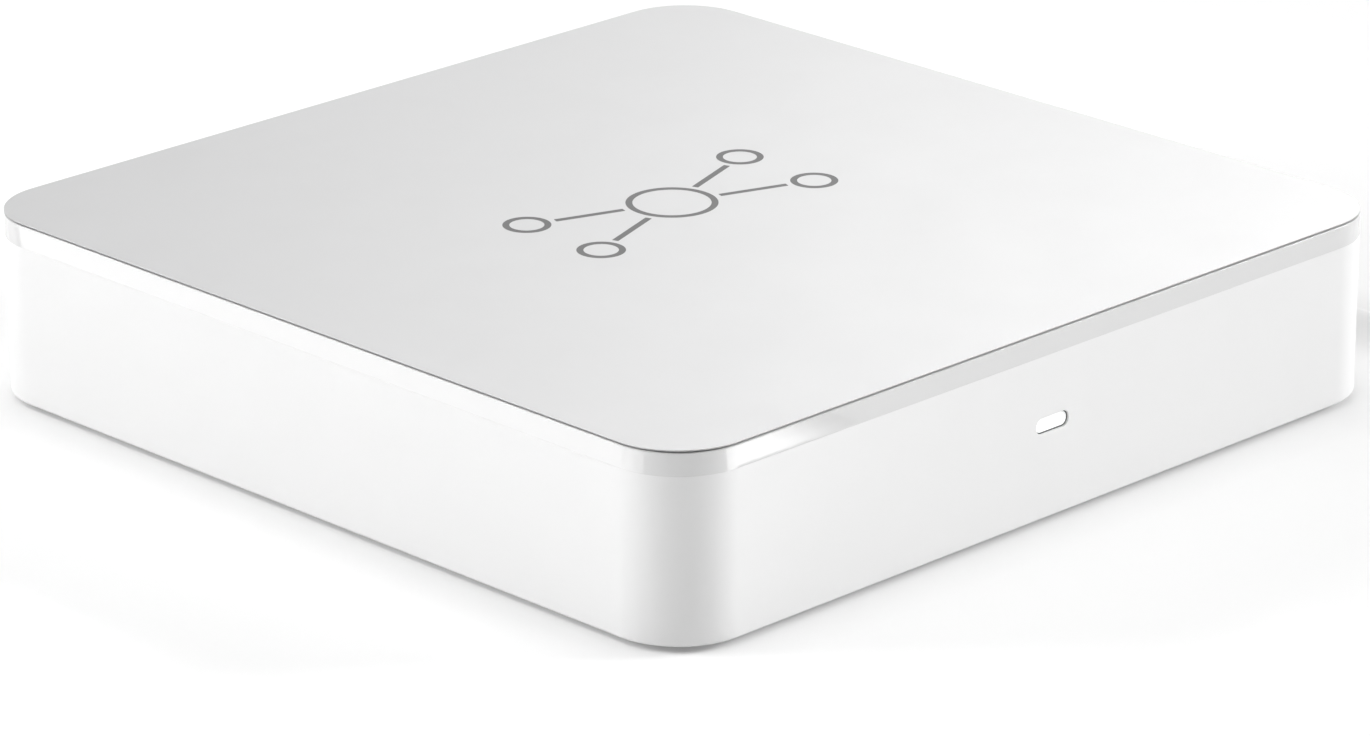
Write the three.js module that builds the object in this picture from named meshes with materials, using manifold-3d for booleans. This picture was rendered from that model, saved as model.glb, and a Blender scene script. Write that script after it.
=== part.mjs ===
// A square smart home hub: a low white box with a thin satin plate on top, a glossy band under it, a
// pill-shaped status light in the front wall, sockets and a reset button at the back, and a circuit board inside.
// Units are millimetres. The origin is on the table under the middle of the hub, +Z is up and -Y is the front.

import * as THREE from "three";
import { mergeVertices } from "three/addons/utils/BufferGeometryUtils.js";
import Module from "manifold-3d";

const wasm = await Module();
wasm.setup();

// ---------- Driving dimensions ----------

const WIDTH = 144; // the housing is square, so this is its depth too
const CORNER_RADIUS = 11;
const BODY_HEIGHT = 27.7; // from the casing's lower edge to the top plate's upper face
const STAND_OFF = 0.9; // the feet hold the casing this far above the table
const BAND_HEIGHT = 3.7; // top plate, shadow gap and glossy rim together
const PLATE_THICKNESS = 0.32;
const SHADOW_GAP = 0.12; // dark line between the top plate and the rim, as high as the adhesive sheet
const PLATE_OVERHANG = 1.1; // how far the plate stands out past its adhesive sheet
const WALL = 2; // casing wall
const FIT = 0.2; // assembly clearance between plastic parts
const JOIN = 0.03; // clearance between parts that touch in the real assembly

const DECK_THICKNESS = 1.8; // the top cover's flat part
const LIP = { depth: 2, thickness: 1.2 }; // the top cover's lip reaches this far down inside the casing
const COVER_RIB = { x: 30, thickness: 1.2, length: 120, height: 1.2 };
const LEDGE = { reach: 1.2, height: 1.2 }; // on the casing's inner face, over the base cover's edge

const LIGHT_LENGTH = 6.8; // status light slot in the front wall
const LIGHT_HEIGHT = 2.5;
const LIGHT_RECESS = 0.3;
const LIGHT_GAP = 0.06; // between the slot and the light guide's head
const GUIDE = { width: 6, armHeight: 2.8, legDepth: 3, legReach: 5.2, legLift: 1.2, bevel: 2.2 };
const GUIDE_FLANGE = { width: 9.6, height: 5, thickness: 1 };
const GUIDE_RIB = { x: 6, thickness: 1.2, depth: 2.8, height: 9 }; // on the casing, beside the guide

const BASE_THICKNESS = 2;
const BASE_RECESS = 0.3; // the base cover sits this far inside the casing's lower edge
const SCREW_SPACING = 122; // case screws, on a square
const SCREW_TUBE = { radius: 4.2, height: 4.6, bore: 3.2, clearance: 1.8, seat: 1.4 };
const SCREW_BOSS = { radius: 3.5, pilot: 1.5, pilotDepth: 12 };
const FOOT_SPACING = 104; // feet, on a square
const FOOT_RADIUS = 6;
const FOOT_POCKET_DEPTH = 0.7;
const VENTS = { columns: 9, pitch: 6, width: 2.2, length: 26, y: 38 };
const LABEL = { width: 46, depth: 30, corner: 1.8, y: -36, recess: 0.3, thickness: 0.2 };

// Two keyholes hang the hub on a wall. Each has a round entry for a screw head, a narrower neck towards the
// front, where the screw then sits, and a closed pocket above them.
const KEYHOLE_SPACING = 80;
const KEYHOLE_Y = 6;
const KEYHOLE = { entryRadius: 4.4, neckWidth: 4.6, neckLength: 8 };
const KEYHOLE_POCKET = { depth: 2.7, wall: 1.2, roof: 0.8 };

const BOARD_WIDTH = 112;
const BOARD_CORNER = 3;
const BOARD_THICKNESS = 1.6;
const BOARD_UNDERSIDE = 7.1; // height above the table
const BOARD_HOLE = { x: 51, y: 44, radius: 1.6 };
const BOARD_POST = { radius: 3, pilot: 1.2, pilotDepth: 6 };
const SOLDER = 0.05; // under each part on the board

const CHIP = { side: 14, height: 1.3, padHeight: 0.5, x: -4, y: 4 }; // the processor and the pad on it
const HEAT_SINK = { side: 24, height: 9, base: 1.6, fins: 8, finWidth: 1 };
const CAPACITOR = { radius: 3.1, groove: 0.3, height: 7.7, footSide: 6.6, footHeight: 0.8 };
const MODULE = { boardHeight: 0.8, canHeight: 2, canInset: 1, antennaEnd: 4 };
const STRIP_ANTENNA = { width: 1.4, length: 24, thickness: 0.4, height: 5, legWidth: 1, feedY: -5 };
const COIL_ANTENNA = { radius: 2.6, wireRadius: 0.4, pitch: 2.6, turns: 9, height: 3.06 };

// The sockets. Sheet is folded metal, and the plug's space starts at floor, above the jack's own underside.
const JACK = { width: 16.2, depth: 21, height: 13.6, sheet: 0.35, rearGap: 0.15, faceRecess: 0.35 };
const PLUG_SPACE = { width: 11.9, height: 7, depth: 14, floor: 3.4 };
const LATCH_SPACE = { width: 6.4, height: 1.6, notchWidth: 3.6, notchHeight: 0.9 };
const CONTACT = { count: 8, pitch: 1.02, width: 0.4, reach: 7, drop: 1.6 };
const CONTACT_BAR = { width: 9, depth: 0.8, height: 0.7, y: 5.6, drop: 0.6 };
const PORT_LIGHT = { x: 5.4, width: 2.8, height: 1.8, depth: 6, lift: 0.5 };
const USB_SHELL = { width: 13.2, depth: 14.4, height: 6.1, sheet: 0.35 };
const USB_BLOCK = { depth: 3.6, tongueWidth: 11, tongueLength: 9.2, tongueHeight: 1.9, tongueDrop: 2.4 };
const POWER_JACK = { width: 9, height: 10.8, depth: 14.4, noseRadius: 4.3, noseLength: 3.4 };
const POWER_BORE = { radius: 3.15, depth: 9.6, pinRadius: 1.05, pinTip: 0.5, pinLength: 8.8 };

const BUTTON_TRAVEL = 0.5; // the reset button moves this far in
const BUTTON = { radius: 1.7, flangeRadius: 3, flange: 0.8, length: 5.4, dish: 0.15 };
const SWITCH = { side: 6.2, depth: 3.6, plungerRadius: 1.6, plungerLength: 2.6, plungerInside: 1 };

// ---------- Places that follow from them ----------

const HALF = WIDTH / 2;
const INNER_FACE = HALF - WALL; // the casing wall's inner face
const TOP = STAND_OFF + BODY_HEIGHT;
const CASING_TOP = TOP - BAND_HEIGHT;
const RIM_TOP = TOP - PLATE_THICKNESS - SHADOW_GAP;
const LIGHT_Z = STAND_OFF + BODY_HEIGHT / 2;
const BASE_UNDERSIDE = STAND_OFF + BASE_RECESS;
const BASE_TOP = BASE_UNDERSIDE + BASE_THICKNESS;
const SCREW_SEAT = BASE_TOP + SCREW_TUBE.seat; // where a case screw's head bears
const BOARD_TOP = BOARD_UNDERSIDE + BOARD_THICKNESS;
const BOARD_FRONT = -INNER_FACE + 3;
const BOARD_REAR = INNER_FACE - 0.8;
const GUIDE_LEG_Y = -INNER_FACE + GUIDE.legReach - GUIDE.legDepth / 2;
const SOCKET_FACE = HALF - 0.4; // the sockets' faces stand just inside the rear wall's outer face

// Each socket's place along X, its opening in the rear wall, and the height of its middle above the table.
const ETHERNET = { x: -14, width: 16.8, height: 14.2, z: BOARD_TOP + 6.9 };
const USB = { x: 12, width: 14.2, height: 7, z: BOARD_TOP + 3.2 };
const POWER = { x: 36, radius: 4.6, z: BOARD_TOP + 6.4 };
const RESET = { x: -40, radius: 2, z: BOARD_TOP + 4 };

const CORNER_STEPS = 6; // facets in half of a housing corner
const OVERLAP = 0.2; // solids that are joined into one piece run this far into each other
const PAST = 1; // a cutter runs this far past the face that it opens

// The four corners of a rectangle centred on the origin.
function cornersOf(width, depth = width) {
  const x = width / 2;
  const y = depth / 2;
  return [
    { name: "front_left", x: -x, y: -y },
    { name: "front_right", x, y: -y },
    { name: "rear_left", x: -x, y },
    { name: "rear_right", x, y },
  ];
}

// ---------- Materials ----------

function material(color, roughness, metalness = 0) {
  return new THREE.MeshStandardMaterial({ color, roughness, metalness });
}

const MATERIALS = {
  satinPlate: material(0xe4e4e5, 0.35, 0.3),
  adhesive: material(0x6f7173, 0.9),
  glossWhite: material(0xf4f4f4, 0.12),
  satinWhite: material(0xf0f0f0, 0.45),
  lightGuide: material(0xffffff, 0.25),
  rubber: material(0x55575a, 0.9),
  label: material(0xd9dadb, 0.6),
  zincSteel: material(0xb9bcc0, 0.3, 1),
  circuitBoard: material(0x1e5a3c, 0.5),
  chipPlastic: material(0x1b1c1e, 0.55),
  ceramic: material(0xd9d4c8, 0.6),
  tinned: material(0xc9ccd0, 0.28, 1),
  aluminium: material(0xb4b7ba, 0.4, 1),
  thermalPad: material(0x8fa4b8, 0.9),
  copper: material(0xb87333, 0.35, 1),
  gold: material(0xd4af52, 0.3, 1),
  blackPlastic: material(0x202124, 0.5),
  cable: material(0x2a2b2d, 0.6),
  buttonGrey: material(0x8d9093, 0.5),
  linkGreen: material(0x7fcf86, 0.3),
  activityAmber: material(0xe7b45a, 0.3),
};

// ---------- Shapes ----------

// A rectangle with round corners, centred on (x, y). With radius = half its short side it is a pill.
function roundedRect(width, depth, radius, x = 0, y = 0) {
  const across = width / 2 - radius;
  const along = depth / 2 - radius;
  const shape = new THREE.Shape();
  shape.absarc(x + across, y + along, radius, 0, Math.PI / 2);
  shape.absarc(x - across, y + along, radius, Math.PI / 2, Math.PI);
  shape.absarc(x - across, y - along, radius, Math.PI, 1.5 * Math.PI);
  shape.absarc(x + across, y - along, radius, 1.5 * Math.PI, 2 * Math.PI);
  shape.closePath();
  return shape;
}

function circle(radius, x = 0, y = 0) {
  return roundedRect(2 * radius, 2 * radius, radius, x, y);
}

function polygon(points) {
  return new THREE.Shape(points.map(([x, y]) => new THREE.Vector2(x, y)));
}

function rectangle(width, height) {
  const x = width / 2;
  const y = height / 2;
  return polygon([[-x, -y], [x, -y], [x, y], [-x, y]]);
}

// The housing's outline, moved inwards by inset.
function outline(inset) {
  return roundedRect(WIDTH - 2 * inset, WIDTH - 2 * inset, CORNER_RADIUS - inset);
}

function ring(outerInset, innerInset) {
  const shape = outline(outerInset);
  shape.holes.push(outline(innerInset));
  return shape;
}

// ---------- Solids ----------

// Stands a flat shape up from z = bottom to z = top. Each arc gets twice arcSteps facets.
function extrude(shape, bottom, top, arcSteps = 3) {
  const options = { depth: top - bottom, bevelEnabled: false, curveSegments: arcSteps };
  return new THREE.ExtrudeGeometry(shape, options).translate(0, 0, bottom);
}

// A side view in Y and Z, extruded along X and centred on x = 0.
function sideExtrude(shape, width) {
  return extrude(shape, -width / 2, width / 2).rotateY(Math.PI / 2).rotateX(Math.PI / 2);
}

// A box centred on (x, y) that stands on z = bottom.
function block(width, depth, height, x = 0, y = 0, bottom = 0) {
  return new THREE.BoxGeometry(width, depth, height).translate(x, y, bottom + height / 2);
}

// An upright cylinder centred on (x, y) that stands on z = bottom.
function rod(radius, height, x = 0, y = 0, bottom = 0, facets = 20) {
  const geometry = new THREE.CylinderGeometry(radius, radius, height, facets);
  return geometry.rotateX(Math.PI / 2).translate(x, y, bottom + height / 2);
}

// A turned solid around Z. The profile's [radius, height] points run from the axis at the top to the axis
// below.
function turned(profile, facets = 24) {
  const points = profile.map(([radius, height]) => new THREE.Vector2(radius, height));
  return new THREE.LatheGeometry(points.reverse(), facets).rotateX(Math.PI / 2);
}

// Lays a solid that stands along Z down along +Y, its own Y then pointing down.
function sideways(geometry) {
  return geometry.rotateX(-Math.PI / 2);
}

// A round wire along a curve.
function wire(curve, radius, steps, sides) {
  const section = [];
  for (let side = 0; side < sides; side++) {
    const angle = (side / sides) * 2 * Math.PI;
    section.push([radius * Math.cos(angle), radius * Math.sin(angle)]);
  }
  return new THREE.ExtrudeGeometry(polygon(section), { steps, bevelEnabled: false, extrudePath: curve });
}

// ---------- Joining and cutting ----------

function toSolid(geometry) {
  const bare = geometry.clone();
  bare.deleteAttribute("normal");
  bare.deleteAttribute("uv");
  const merged = mergeVertices(bare, 1e-4);
  const mesh = new wasm.Mesh({
    numProp: 3,
    vertProperties: merged.attributes.position.array,
    triVerts: new Uint32Array(merged.index.array),
  });
  return new wasm.Manifold(mesh);
}

function toGeometry(solid) {
  const mesh = solid.getMesh();
  const geometry = new THREE.BufferGeometry();
  geometry.setAttribute("position", new THREE.BufferAttribute(mesh.vertProperties, 3));
  geometry.setIndex(new THREE.BufferAttribute(mesh.triVerts, 1));
  geometry.computeVertexNormals();
  return geometry;
}

function join(...geometries) {
  return toGeometry(geometries.map(toSolid).reduce((whole, piece) => whole.add(piece)));
}

function cut(geometry, ...tools) {
  return toGeometry(tools.map(toSolid).reduce((rest, tool) => rest.subtract(tool), toSolid(geometry)));
}

// ---------- Nodes ----------

function part(name, geometry, look, x = 0, y = 0, z = 0) {
  const mesh = new THREE.Mesh(geometry, look);
  mesh.name = name;
  mesh.position.set(x, y, z);
  return mesh;
}

function group(children, x = 0, y = 0, z = 0) {
  const made = new THREE.Group();
  made.add(...children);
  made.position.set(x, y, z);
  return made;
}

// ---------- Housing ----------

function topPlate() {
  return extrude(outline(0), TOP - PLATE_THICKNESS, TOP, CORNER_STEPS);
}

function plateAdhesive() {
  return extrude(outline(PLATE_OVERHANG), RIM_TOP + JOIN, TOP - PLATE_THICKNESS - JOIN, CORNER_STEPS);
}

// A deck with a glossy rim, a lip that reaches down inside the casing, two ribs and four screw bosses.
function topCover() {
  const underside = RIM_TOP - DECK_THICKNESS;
  const joined = underside + OVERLAP;
  const bossBottom = BASE_TOP + SCREW_TUBE.height + FIT;
  const lipInset = WALL + FIT;
  const pieces = [
    extrude(outline(0), underside, RIM_TOP, CORNER_STEPS),
    extrude(ring(0, WALL), CASING_TOP + JOIN, joined, CORNER_STEPS),
    extrude(ring(lipInset, lipInset + LIP.thickness), CASING_TOP - LIP.depth, joined, CORNER_STEPS),
  ];
  for (const side of [-1, 1]) {
    const { x, thickness, length, height } = COVER_RIB;
    pieces.push(block(thickness, length, height + OVERLAP, side * x, 0, underside - height));
  }
  const pilots = [];
  for (const { x, y } of cornersOf(SCREW_SPACING)) {
    pieces.push(rod(SCREW_BOSS.radius, joined - bossBottom, x, y, bossBottom));
    pilots.push(rod(SCREW_BOSS.pilot, SCREW_BOSS.pilotDepth + PAST, x, y, bossBottom - PAST, 12));
  }
  return cut(join(...pieces), ...pilots);
}

// A cutter through the front wall (side = -1) or the rear wall (side = 1).
function wallCutter(shape, side, x, z, arcSteps) {
  const reach = WALL / 2 + PAST;
  return sideways(extrude(shape, -reach, reach, arcSteps)).translate(x, side * (HALF - WALL / 2), z);
}

// The square wall, with a ledge that the base cover bears on, the light slot, two ribs beside the light guide
// and the openings for the sockets and the reset button.
function sideCasing() {
  const ledgeBottom = BASE_TOP + FIT;
  const pieces = [
    extrude(ring(0, WALL), STAND_OFF, CASING_TOP, CORNER_STEPS),
    extrude(ring(WALL - OVERLAP, WALL + LEDGE.reach), ledgeBottom, ledgeBottom + LEDGE.height, CORNER_STEPS),
  ];
  for (const side of [-1, 1]) {
    const { x, thickness, depth, height } = GUIDE_RIB;
    const y = -INNER_FACE + (depth - OVERLAP) / 2;
    pieces.push(block(thickness, depth + OVERLAP, height, side * x, y, LIGHT_Z - height / 2));
  }
  const openings = [
    wallCutter(roundedRect(LIGHT_LENGTH, LIGHT_HEIGHT, LIGHT_HEIGHT / 2), -1, 0, LIGHT_Z, 6),
    wallCutter(rectangle(ETHERNET.width, ETHERNET.height), 1, ETHERNET.x, ETHERNET.z),
    wallCutter(rectangle(USB.width, USB.height), 1, USB.x, USB.z),
    wallCutter(circle(POWER.radius), 1, POWER.x, POWER.z, 4),
    wallCutter(circle(RESET.radius), 1, RESET.x, RESET.z, 3),
  ];
  return cut(join(...pieces), ...openings);
}

function keyholeCutters(x) {
  const { entryRadius, neckWidth, neckLength } = KEYHOLE;
  const neckY = KEYHOLE_Y - neckLength / 2;
  const neck = roundedRect(neckWidth, neckLength + neckWidth, neckWidth / 2, x, neckY);
  const pocketLength = neckLength + 2 * entryRadius;
  return [
    rod(entryRadius, BASE_THICKNESS + 2 * PAST, x, KEYHOLE_Y, BASE_UNDERSIDE - PAST, 16),
    extrude(neck, BASE_UNDERSIDE - PAST, BASE_TOP + PAST),
    block(2 * entryRadius, pocketLength, KEYHOLE_POCKET.depth, x, neckY, BASE_TOP),
  ];
}

// The closed box over a keyhole.
function keyholePocket(x) {
  const { entryRadius, neckLength } = KEYHOLE;
  const { depth, wall, roof } = KEYHOLE_POCKET;
  const side = 2 * (entryRadius + wall);
  const y = KEYHOLE_Y - neckLength / 2;
  return block(side, neckLength + side, depth + roof + OVERLAP, x, y, BASE_TOP - OVERLAP);
}

// The floor of the hub, with vents, board posts, screw tubes, foot pockets, a label recess and the keyholes.
function baseCover() {
  const pieces = [extrude(outline(WALL + FIT), BASE_UNDERSIDE, BASE_TOP, CORNER_STEPS)];
  const holes = [];
  const postHeight = BOARD_UNDERSIDE - JOIN - BASE_TOP;
  for (const { x, y } of cornersOf(2 * BOARD_HOLE.x, 2 * BOARD_HOLE.y)) {
    pieces.push(rod(BOARD_POST.radius, postHeight + OVERLAP, x, y, BASE_TOP - OVERLAP));
    holes.push(rod(BOARD_POST.pilot, BOARD_POST.pilotDepth, x, y, BASE_TOP, 12));
  }
  for (const { x, y } of cornersOf(SCREW_SPACING)) {
    const below = BASE_UNDERSIDE - PAST;
    pieces.push(rod(SCREW_TUBE.radius, SCREW_TUBE.height + OVERLAP, x, y, BASE_TOP - OVERLAP));
    holes.push(rod(SCREW_TUBE.bore, SCREW_SEAT - below, x, y, below, 16));
    holes.push(rod(SCREW_TUBE.clearance, SCREW_TUBE.height + PAST, x, y, BASE_TOP, 16));
  }
  for (const { x, y } of cornersOf(FOOT_SPACING)) {
    holes.push(rod(FOOT_RADIUS + FIT, FOOT_POCKET_DEPTH + PAST, x, y, BASE_UNDERSIDE - PAST, 28));
  }
  for (const x of [-KEYHOLE_SPACING / 2, KEYHOLE_SPACING / 2]) {
    pieces.push(keyholePocket(x));
    holes.push(...keyholeCutters(x));
  }
  for (let column = 0; column < VENTS.columns; column++) {
    const x = (column - (VENTS.columns - 1) / 2) * VENTS.pitch;
    const slot = roundedRect(VENTS.width, VENTS.length, VENTS.width / 2, x, VENTS.y);
    holes.push(extrude(slot, BASE_UNDERSIDE - PAST, BASE_TOP + PAST, 2));
  }
  const recess = roundedRect(LABEL.width + 2 * FIT, LABEL.depth + 2 * FIT, LABEL.corner + FIT, 0, LABEL.y);
  holes.push(extrude(recess, BASE_UNDERSIDE - PAST, BASE_UNDERSIDE + LABEL.recess));
  return cut(join(...pieces), ...holes);
}

function ratingLabel() {
  return extrude(roundedRect(LABEL.width, LABEL.depth, LABEL.corner), 0, LABEL.thickness);
}

// A turned rubber foot with a chamfered lower edge. It stands on z = 0.
function foot() {
  const height = BASE_UNDERSIDE + FOOT_POCKET_DEPTH - JOIN;
  const chamfer = 0.5;
  const profile = [
    [0, height],
    [FOOT_RADIUS, height],
    [FOOT_RADIUS, chamfer],
    [FOOT_RADIUS - chamfer, 0],
    [0, 0],
  ];
  return turned(profile, 28);
}

// A pan head screw that points up, with its seat at z = 0 and a six-sided socket from below.
function screw(headRadius, headHeight, shankRadius, length) {
  const point = 1;
  const headEdge = 0.5;
  const profile = [
    [0, length],
    [shankRadius * 0.6, length],
    [shankRadius, length - point],
    [shankRadius, 0],
    [headRadius, 0],
    [headRadius, headEdge - headHeight],
    [headRadius - headEdge, -headHeight],
    [0, -headHeight],
  ];
  const socket = rod(headRadius * 0.45, headHeight * 0.6 + PAST, 0, 0, -headHeight - PAST, 6);
  return cut(turned(profile, 14), socket);
}

// The light guide: a pill-shaped head in the wall's slot, a flange behind the wall, and a bent leg down to the
// LED.
// Its origin is at the middle of the slot.
function lightPipe() {
  const armHalf = GUIDE.armHeight / 2;
  const legRear = -INNER_FACE + GUIDE.legReach;
  const legFront = legRear - GUIDE.legDepth;
  const legBottom = BOARD_TOP + GUIDE.legLift - LIGHT_Z;
  const arm = polygon([
    [-INNER_FACE, -armHalf],
    [legFront, -armHalf],
    [legFront, legBottom],
    [legRear, legBottom],
    [legRear, armHalf - GUIDE.bevel],
    [legRear - GUIDE.bevel, armHalf],
    [-INNER_FACE, armHalf],
  ]);
  const headHeight = LIGHT_HEIGHT - 2 * LIGHT_GAP;
  const pill = roundedRect(LIGHT_LENGTH - 2 * LIGHT_GAP, headHeight, headHeight / 2);
  const head = sideways(extrude(pill, -HALF + LIGHT_RECESS, -INNER_FACE + OVERLAP, 6));
  const { width, height, thickness } = GUIDE_FLANGE;
  const flange = block(width, thickness, height, 0, -INNER_FACE + JOIN + thickness / 2, -height / 2);
  return join(sideExtrude(arm, GUIDE.width), head, flange);
}

function housing() {
  const parts = [
    part("top_plate", topPlate(), MATERIALS.satinPlate),
    part("plate_adhesive", plateAdhesive(), MATERIALS.adhesive),
    part("top_cover", topCover(), MATERIALS.glossWhite),
    part("side_casing", sideCasing(), MATERIALS.satinWhite),
    part("base_cover", baseCover(), MATERIALS.satinWhite),
    part("light_pipe", lightPipe(), MATERIALS.lightGuide, 0, 0, LIGHT_Z),
    part("rating_label", ratingLabel(), MATERIALS.label, 0, LABEL.y, BASE_UNDERSIDE + JOIN),
  ];
  for (const { name, x, y } of cornersOf(FOOT_SPACING)) {
    parts.push(part(`foot_${name}`, foot(), MATERIALS.rubber, x, y, 0));
  }
  for (const { name, x, y } of cornersOf(SCREW_SPACING)) {
    const shape = screw(2.8, 1.9, 1.25, 11);
    parts.push(part(`case_screw_${name}`, shape, MATERIALS.zincSteel, x, y, SCREW_SEAT - JOIN));
  }
  return group(parts);
}

// ---------- Circuit board and what is soldered to it ----------

function mainBoard() {
  const depth = BOARD_REAR - BOARD_FRONT;
  const board = roundedRect(BOARD_WIDTH, depth, BOARD_CORNER, 0, (BOARD_REAR + BOARD_FRONT) / 2);
  for (const { x, y } of cornersOf(2 * BOARD_HOLE.x, 2 * BOARD_HOLE.y)) {
    board.holes.push(circle(BOARD_HOLE.radius, x, y));
  }
  return extrude(board, -BOARD_THICKNESS, 0);
}

// A comb of upright fins on a base plate.
function heatSink() {
  const { side, height, base, fins, finWidth } = HEAT_SINK;
  const pitch = (side - finWidth) / (fins - 1);
  const points = [[-side / 2, 0], [side / 2, 0]];
  for (let fin = fins - 1; fin >= 0; fin--) {
    const left = -side / 2 + fin * pitch;
    points.push([left + finWidth, height], [left, height]);
    if (fin > 0) points.push([left, base], [left - pitch + finWidth, base]);
  }
  return sideExtrude(polygon(points), side);
}

// An electrolytic capacitor: a grooved can on a square foot.
function capacitor() {
  const { radius, groove, height, footSide, footHeight } = CAPACITOR;
  const grooveZ = 2.2;
  const edge = 0.3;
  const can = [
    [0, height],
    [radius - edge, height],
    [radius, height - edge],
    [radius, grooveZ + groove],
    [radius - groove, grooveZ],
    [radius, grooveZ - groove],
    [radius, footHeight - OVERLAP],
    [0, footHeight - OVERLAP],
  ];
  return join(turned(can, 20), block(footSide, footSide, footHeight));
}

// A radio module: its own small board, and a tinned can over its chips that leaves the antenna end open.
function radioModule(name, x, y, width, depth) {
  const { boardHeight, canHeight, canInset, antennaEnd } = MODULE;
  const canDepth = depth - 2 * canInset - antennaEnd;
  const canY = y + antennaEnd / 2;
  const canZ = SOLDER + boardHeight + SOLDER;
  return [
    part(`${name}_board`, block(width, depth, boardHeight), MATERIALS.circuitBoard, x, y, SOLDER),
    part(`${name}_can`, block(width - 2 * canInset, canDepth, canHeight), MATERIALS.tinned, x, canY, canZ),
  ];
}

// A stamped inverted-F antenna: a raised strip on two legs.
function stripAntenna() {
  const { width, length, thickness, height, legWidth, feedY } = STRIP_ANTENNA;
  const endY = -(length - legWidth) / 2;
  const legs = [endY, feedY].map((y) => block(width, legWidth, height + OVERLAP, 0, y, 0));
  return join(block(width, length, thickness, 0, 0, height), ...legs);
}

class Helix extends THREE.Curve {
  constructor(radius, pitch, turns) {
    super();
    Object.assign(this, { radius, pitch, turns });
  }

  getPoint(t) {
    const angle = t * this.turns * 2 * Math.PI;
    const x = this.radius * Math.cos(angle);
    const z = this.radius * Math.sin(angle);
    return new THREE.Vector3(x, t * this.turns * this.pitch, z);
  }
}

// A coil of copper wire that lies along Y, with a leg from its first turn down to the board.
function coilAntenna() {
  const { radius, wireRadius, pitch, turns, height } = COIL_ANTENNA;
  const leg = rod(wireRadius * 0.9, height, radius, 0.1, -height, 8);
  return join(wire(new Helix(radius, pitch, turns), wireRadius, 10 * turns, 5), leg);
}

function boardParts() {
  const { x, y } = CHIP;
  const padZ = SOLDER + CHIP.height + JOIN;
  const sinkZ = padZ + CHIP.padHeight + JOIN;
  const chip = (name, width, depth, height, ...place) =>
    part(name, block(width, depth, height), MATERIALS.chipPlastic, ...place, SOLDER);
  const parts = [
    part("main_board", mainBoard(), MATERIALS.circuitBoard),
    chip("processor", CHIP.side, CHIP.side, CHIP.height, x, y),
    part("thermal_pad", block(CHIP.side, CHIP.side, CHIP.padHeight), MATERIALS.thermalPad, x, y, padZ),
    part("heat_sink", heatSink(), MATERIALS.aluminium, x, y, sinkZ),
    chip("memory_chip_1", 9, 13, 1, 18, 12),
    chip("memory_chip_2", 9, 13, 1, 18, -4),
    chip("flash_chip", 11.5, 13, 1, -4, -20),
    chip("power_inductor", 7.3, 7.3, 4, 44, 24),
    chip("network_transformer", 16, 12, 5.6, ETHERNET.x, 38),
    part("crystal", block(3.2, 2.5, 0.8), MATERIALS.tinned, 10, -16, SOLDER),
    part("capacitor_1", capacitor(), MATERIALS.aluminium, 46, 34, SOLDER),
    part("capacitor_2", capacitor(), MATERIALS.aluminium, 37, 34, SOLDER),
    part("status_led", block(3.5, 2.8, 0.9), MATERIALS.ceramic, 0, GUIDE_LEG_Y, SOLDER),
    ...radioModule("wireless_module", 40, -30, 15, 20),
    ...radioModule("mesh_radio", -40, -34, 14, 20),
    ...radioModule("long_range_radio", -40, 0, 14, 20),
    part("mesh_antenna", stripAntenna(), MATERIALS.gold, -51, -18, SOLDER),
    part("long_range_antenna", coilAntenna(), MATERIALS.copper, -50, 4, SOLDER + COIL_ANTENNA.height),
  ];
  for (const { name, x: holeX, y: holeY } of cornersOf(2 * BOARD_HOLE.x, 2 * BOARD_HOLE.y)) {
    const pointingDown = screw(2.6, 1.7, 1, 5).rotateX(Math.PI);
    parts.push(part(`board_screw_${name}`, pointingDown, MATERIALS.zincSteel, holeX, holeY, JOIN));
  }
  return parts;
}

// ---------- Sockets ----------

// A box of folded sheet metal, open towards +Y.
function sheetShell({ width, depth, height, sheet }) {
  const inside = block(width - 2 * sheet, depth, height - 2 * sheet, 0, sheet, sheet);
  return cut(block(width, depth, height), inside);
}

// The plastic body inside the Ethernet jack: the plug's space, stepped below for its latch, and two pockets for
// the lights.
function ethernetInsert(width, depth, height) {
  const face = depth / 2;
  const cavityDepth = PLUG_SPACE.depth + PAST;
  const cavityY = face + PAST - cavityDepth / 2;
  const hole = (across, high, bottom) => block(across, cavityDepth, high, 0, cavityY, bottom);
  const latchFloor = PLUG_SPACE.floor - LATCH_SPACE.height;
  const notchFloor = latchFloor - LATCH_SPACE.notchHeight;
  const openings = [
    hole(PLUG_SPACE.width, PLUG_SPACE.height, PLUG_SPACE.floor),
    hole(LATCH_SPACE.width, LATCH_SPACE.height + OVERLAP, latchFloor),
    hole(LATCH_SPACE.notchWidth, LATCH_SPACE.notchHeight + OVERLAP, notchFloor),
  ];
  for (const side of [-1, 1]) {
    const { x, width: lightWidth, height: lightHeight, depth: lightDepth, lift } = PORT_LIGHT;
    const pocketDepth = lightDepth + PAST;
    const pocketY = face + PAST - pocketDepth / 2;
    openings.push(block(lightWidth + 2 * FIT, pocketDepth, lightHeight + 2 * FIT, side * x, pocketY, lift));
  }
  return cut(block(width, depth, height), ...openings);
}

// Sprung contact wires on one moulded bar, sloping back and down over the plug's space.
function ethernetContacts() {
  const { count, pitch, width, reach, drop } = CONTACT;
  const front = CONTACT_BAR.y + width / 2;
  const slope = polygon([
    [front - width, 0],
    [front, 0],
    [front - reach, -drop],
    [front - reach - width, -drop],
  ]);
  const wires = [];
  for (let pin = 0; pin < count; pin++) {
    wires.push(sideExtrude(slope, width).translate((pin - (count - 1) / 2) * pitch, 0, 0));
  }
  const { width: barWidth, depth: barDepth, height: barHeight, y: barY } = CONTACT_BAR;
  return join(block(barWidth, barDepth, barHeight, 0, barY, -barHeight / 2), ...wires);
}

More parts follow.
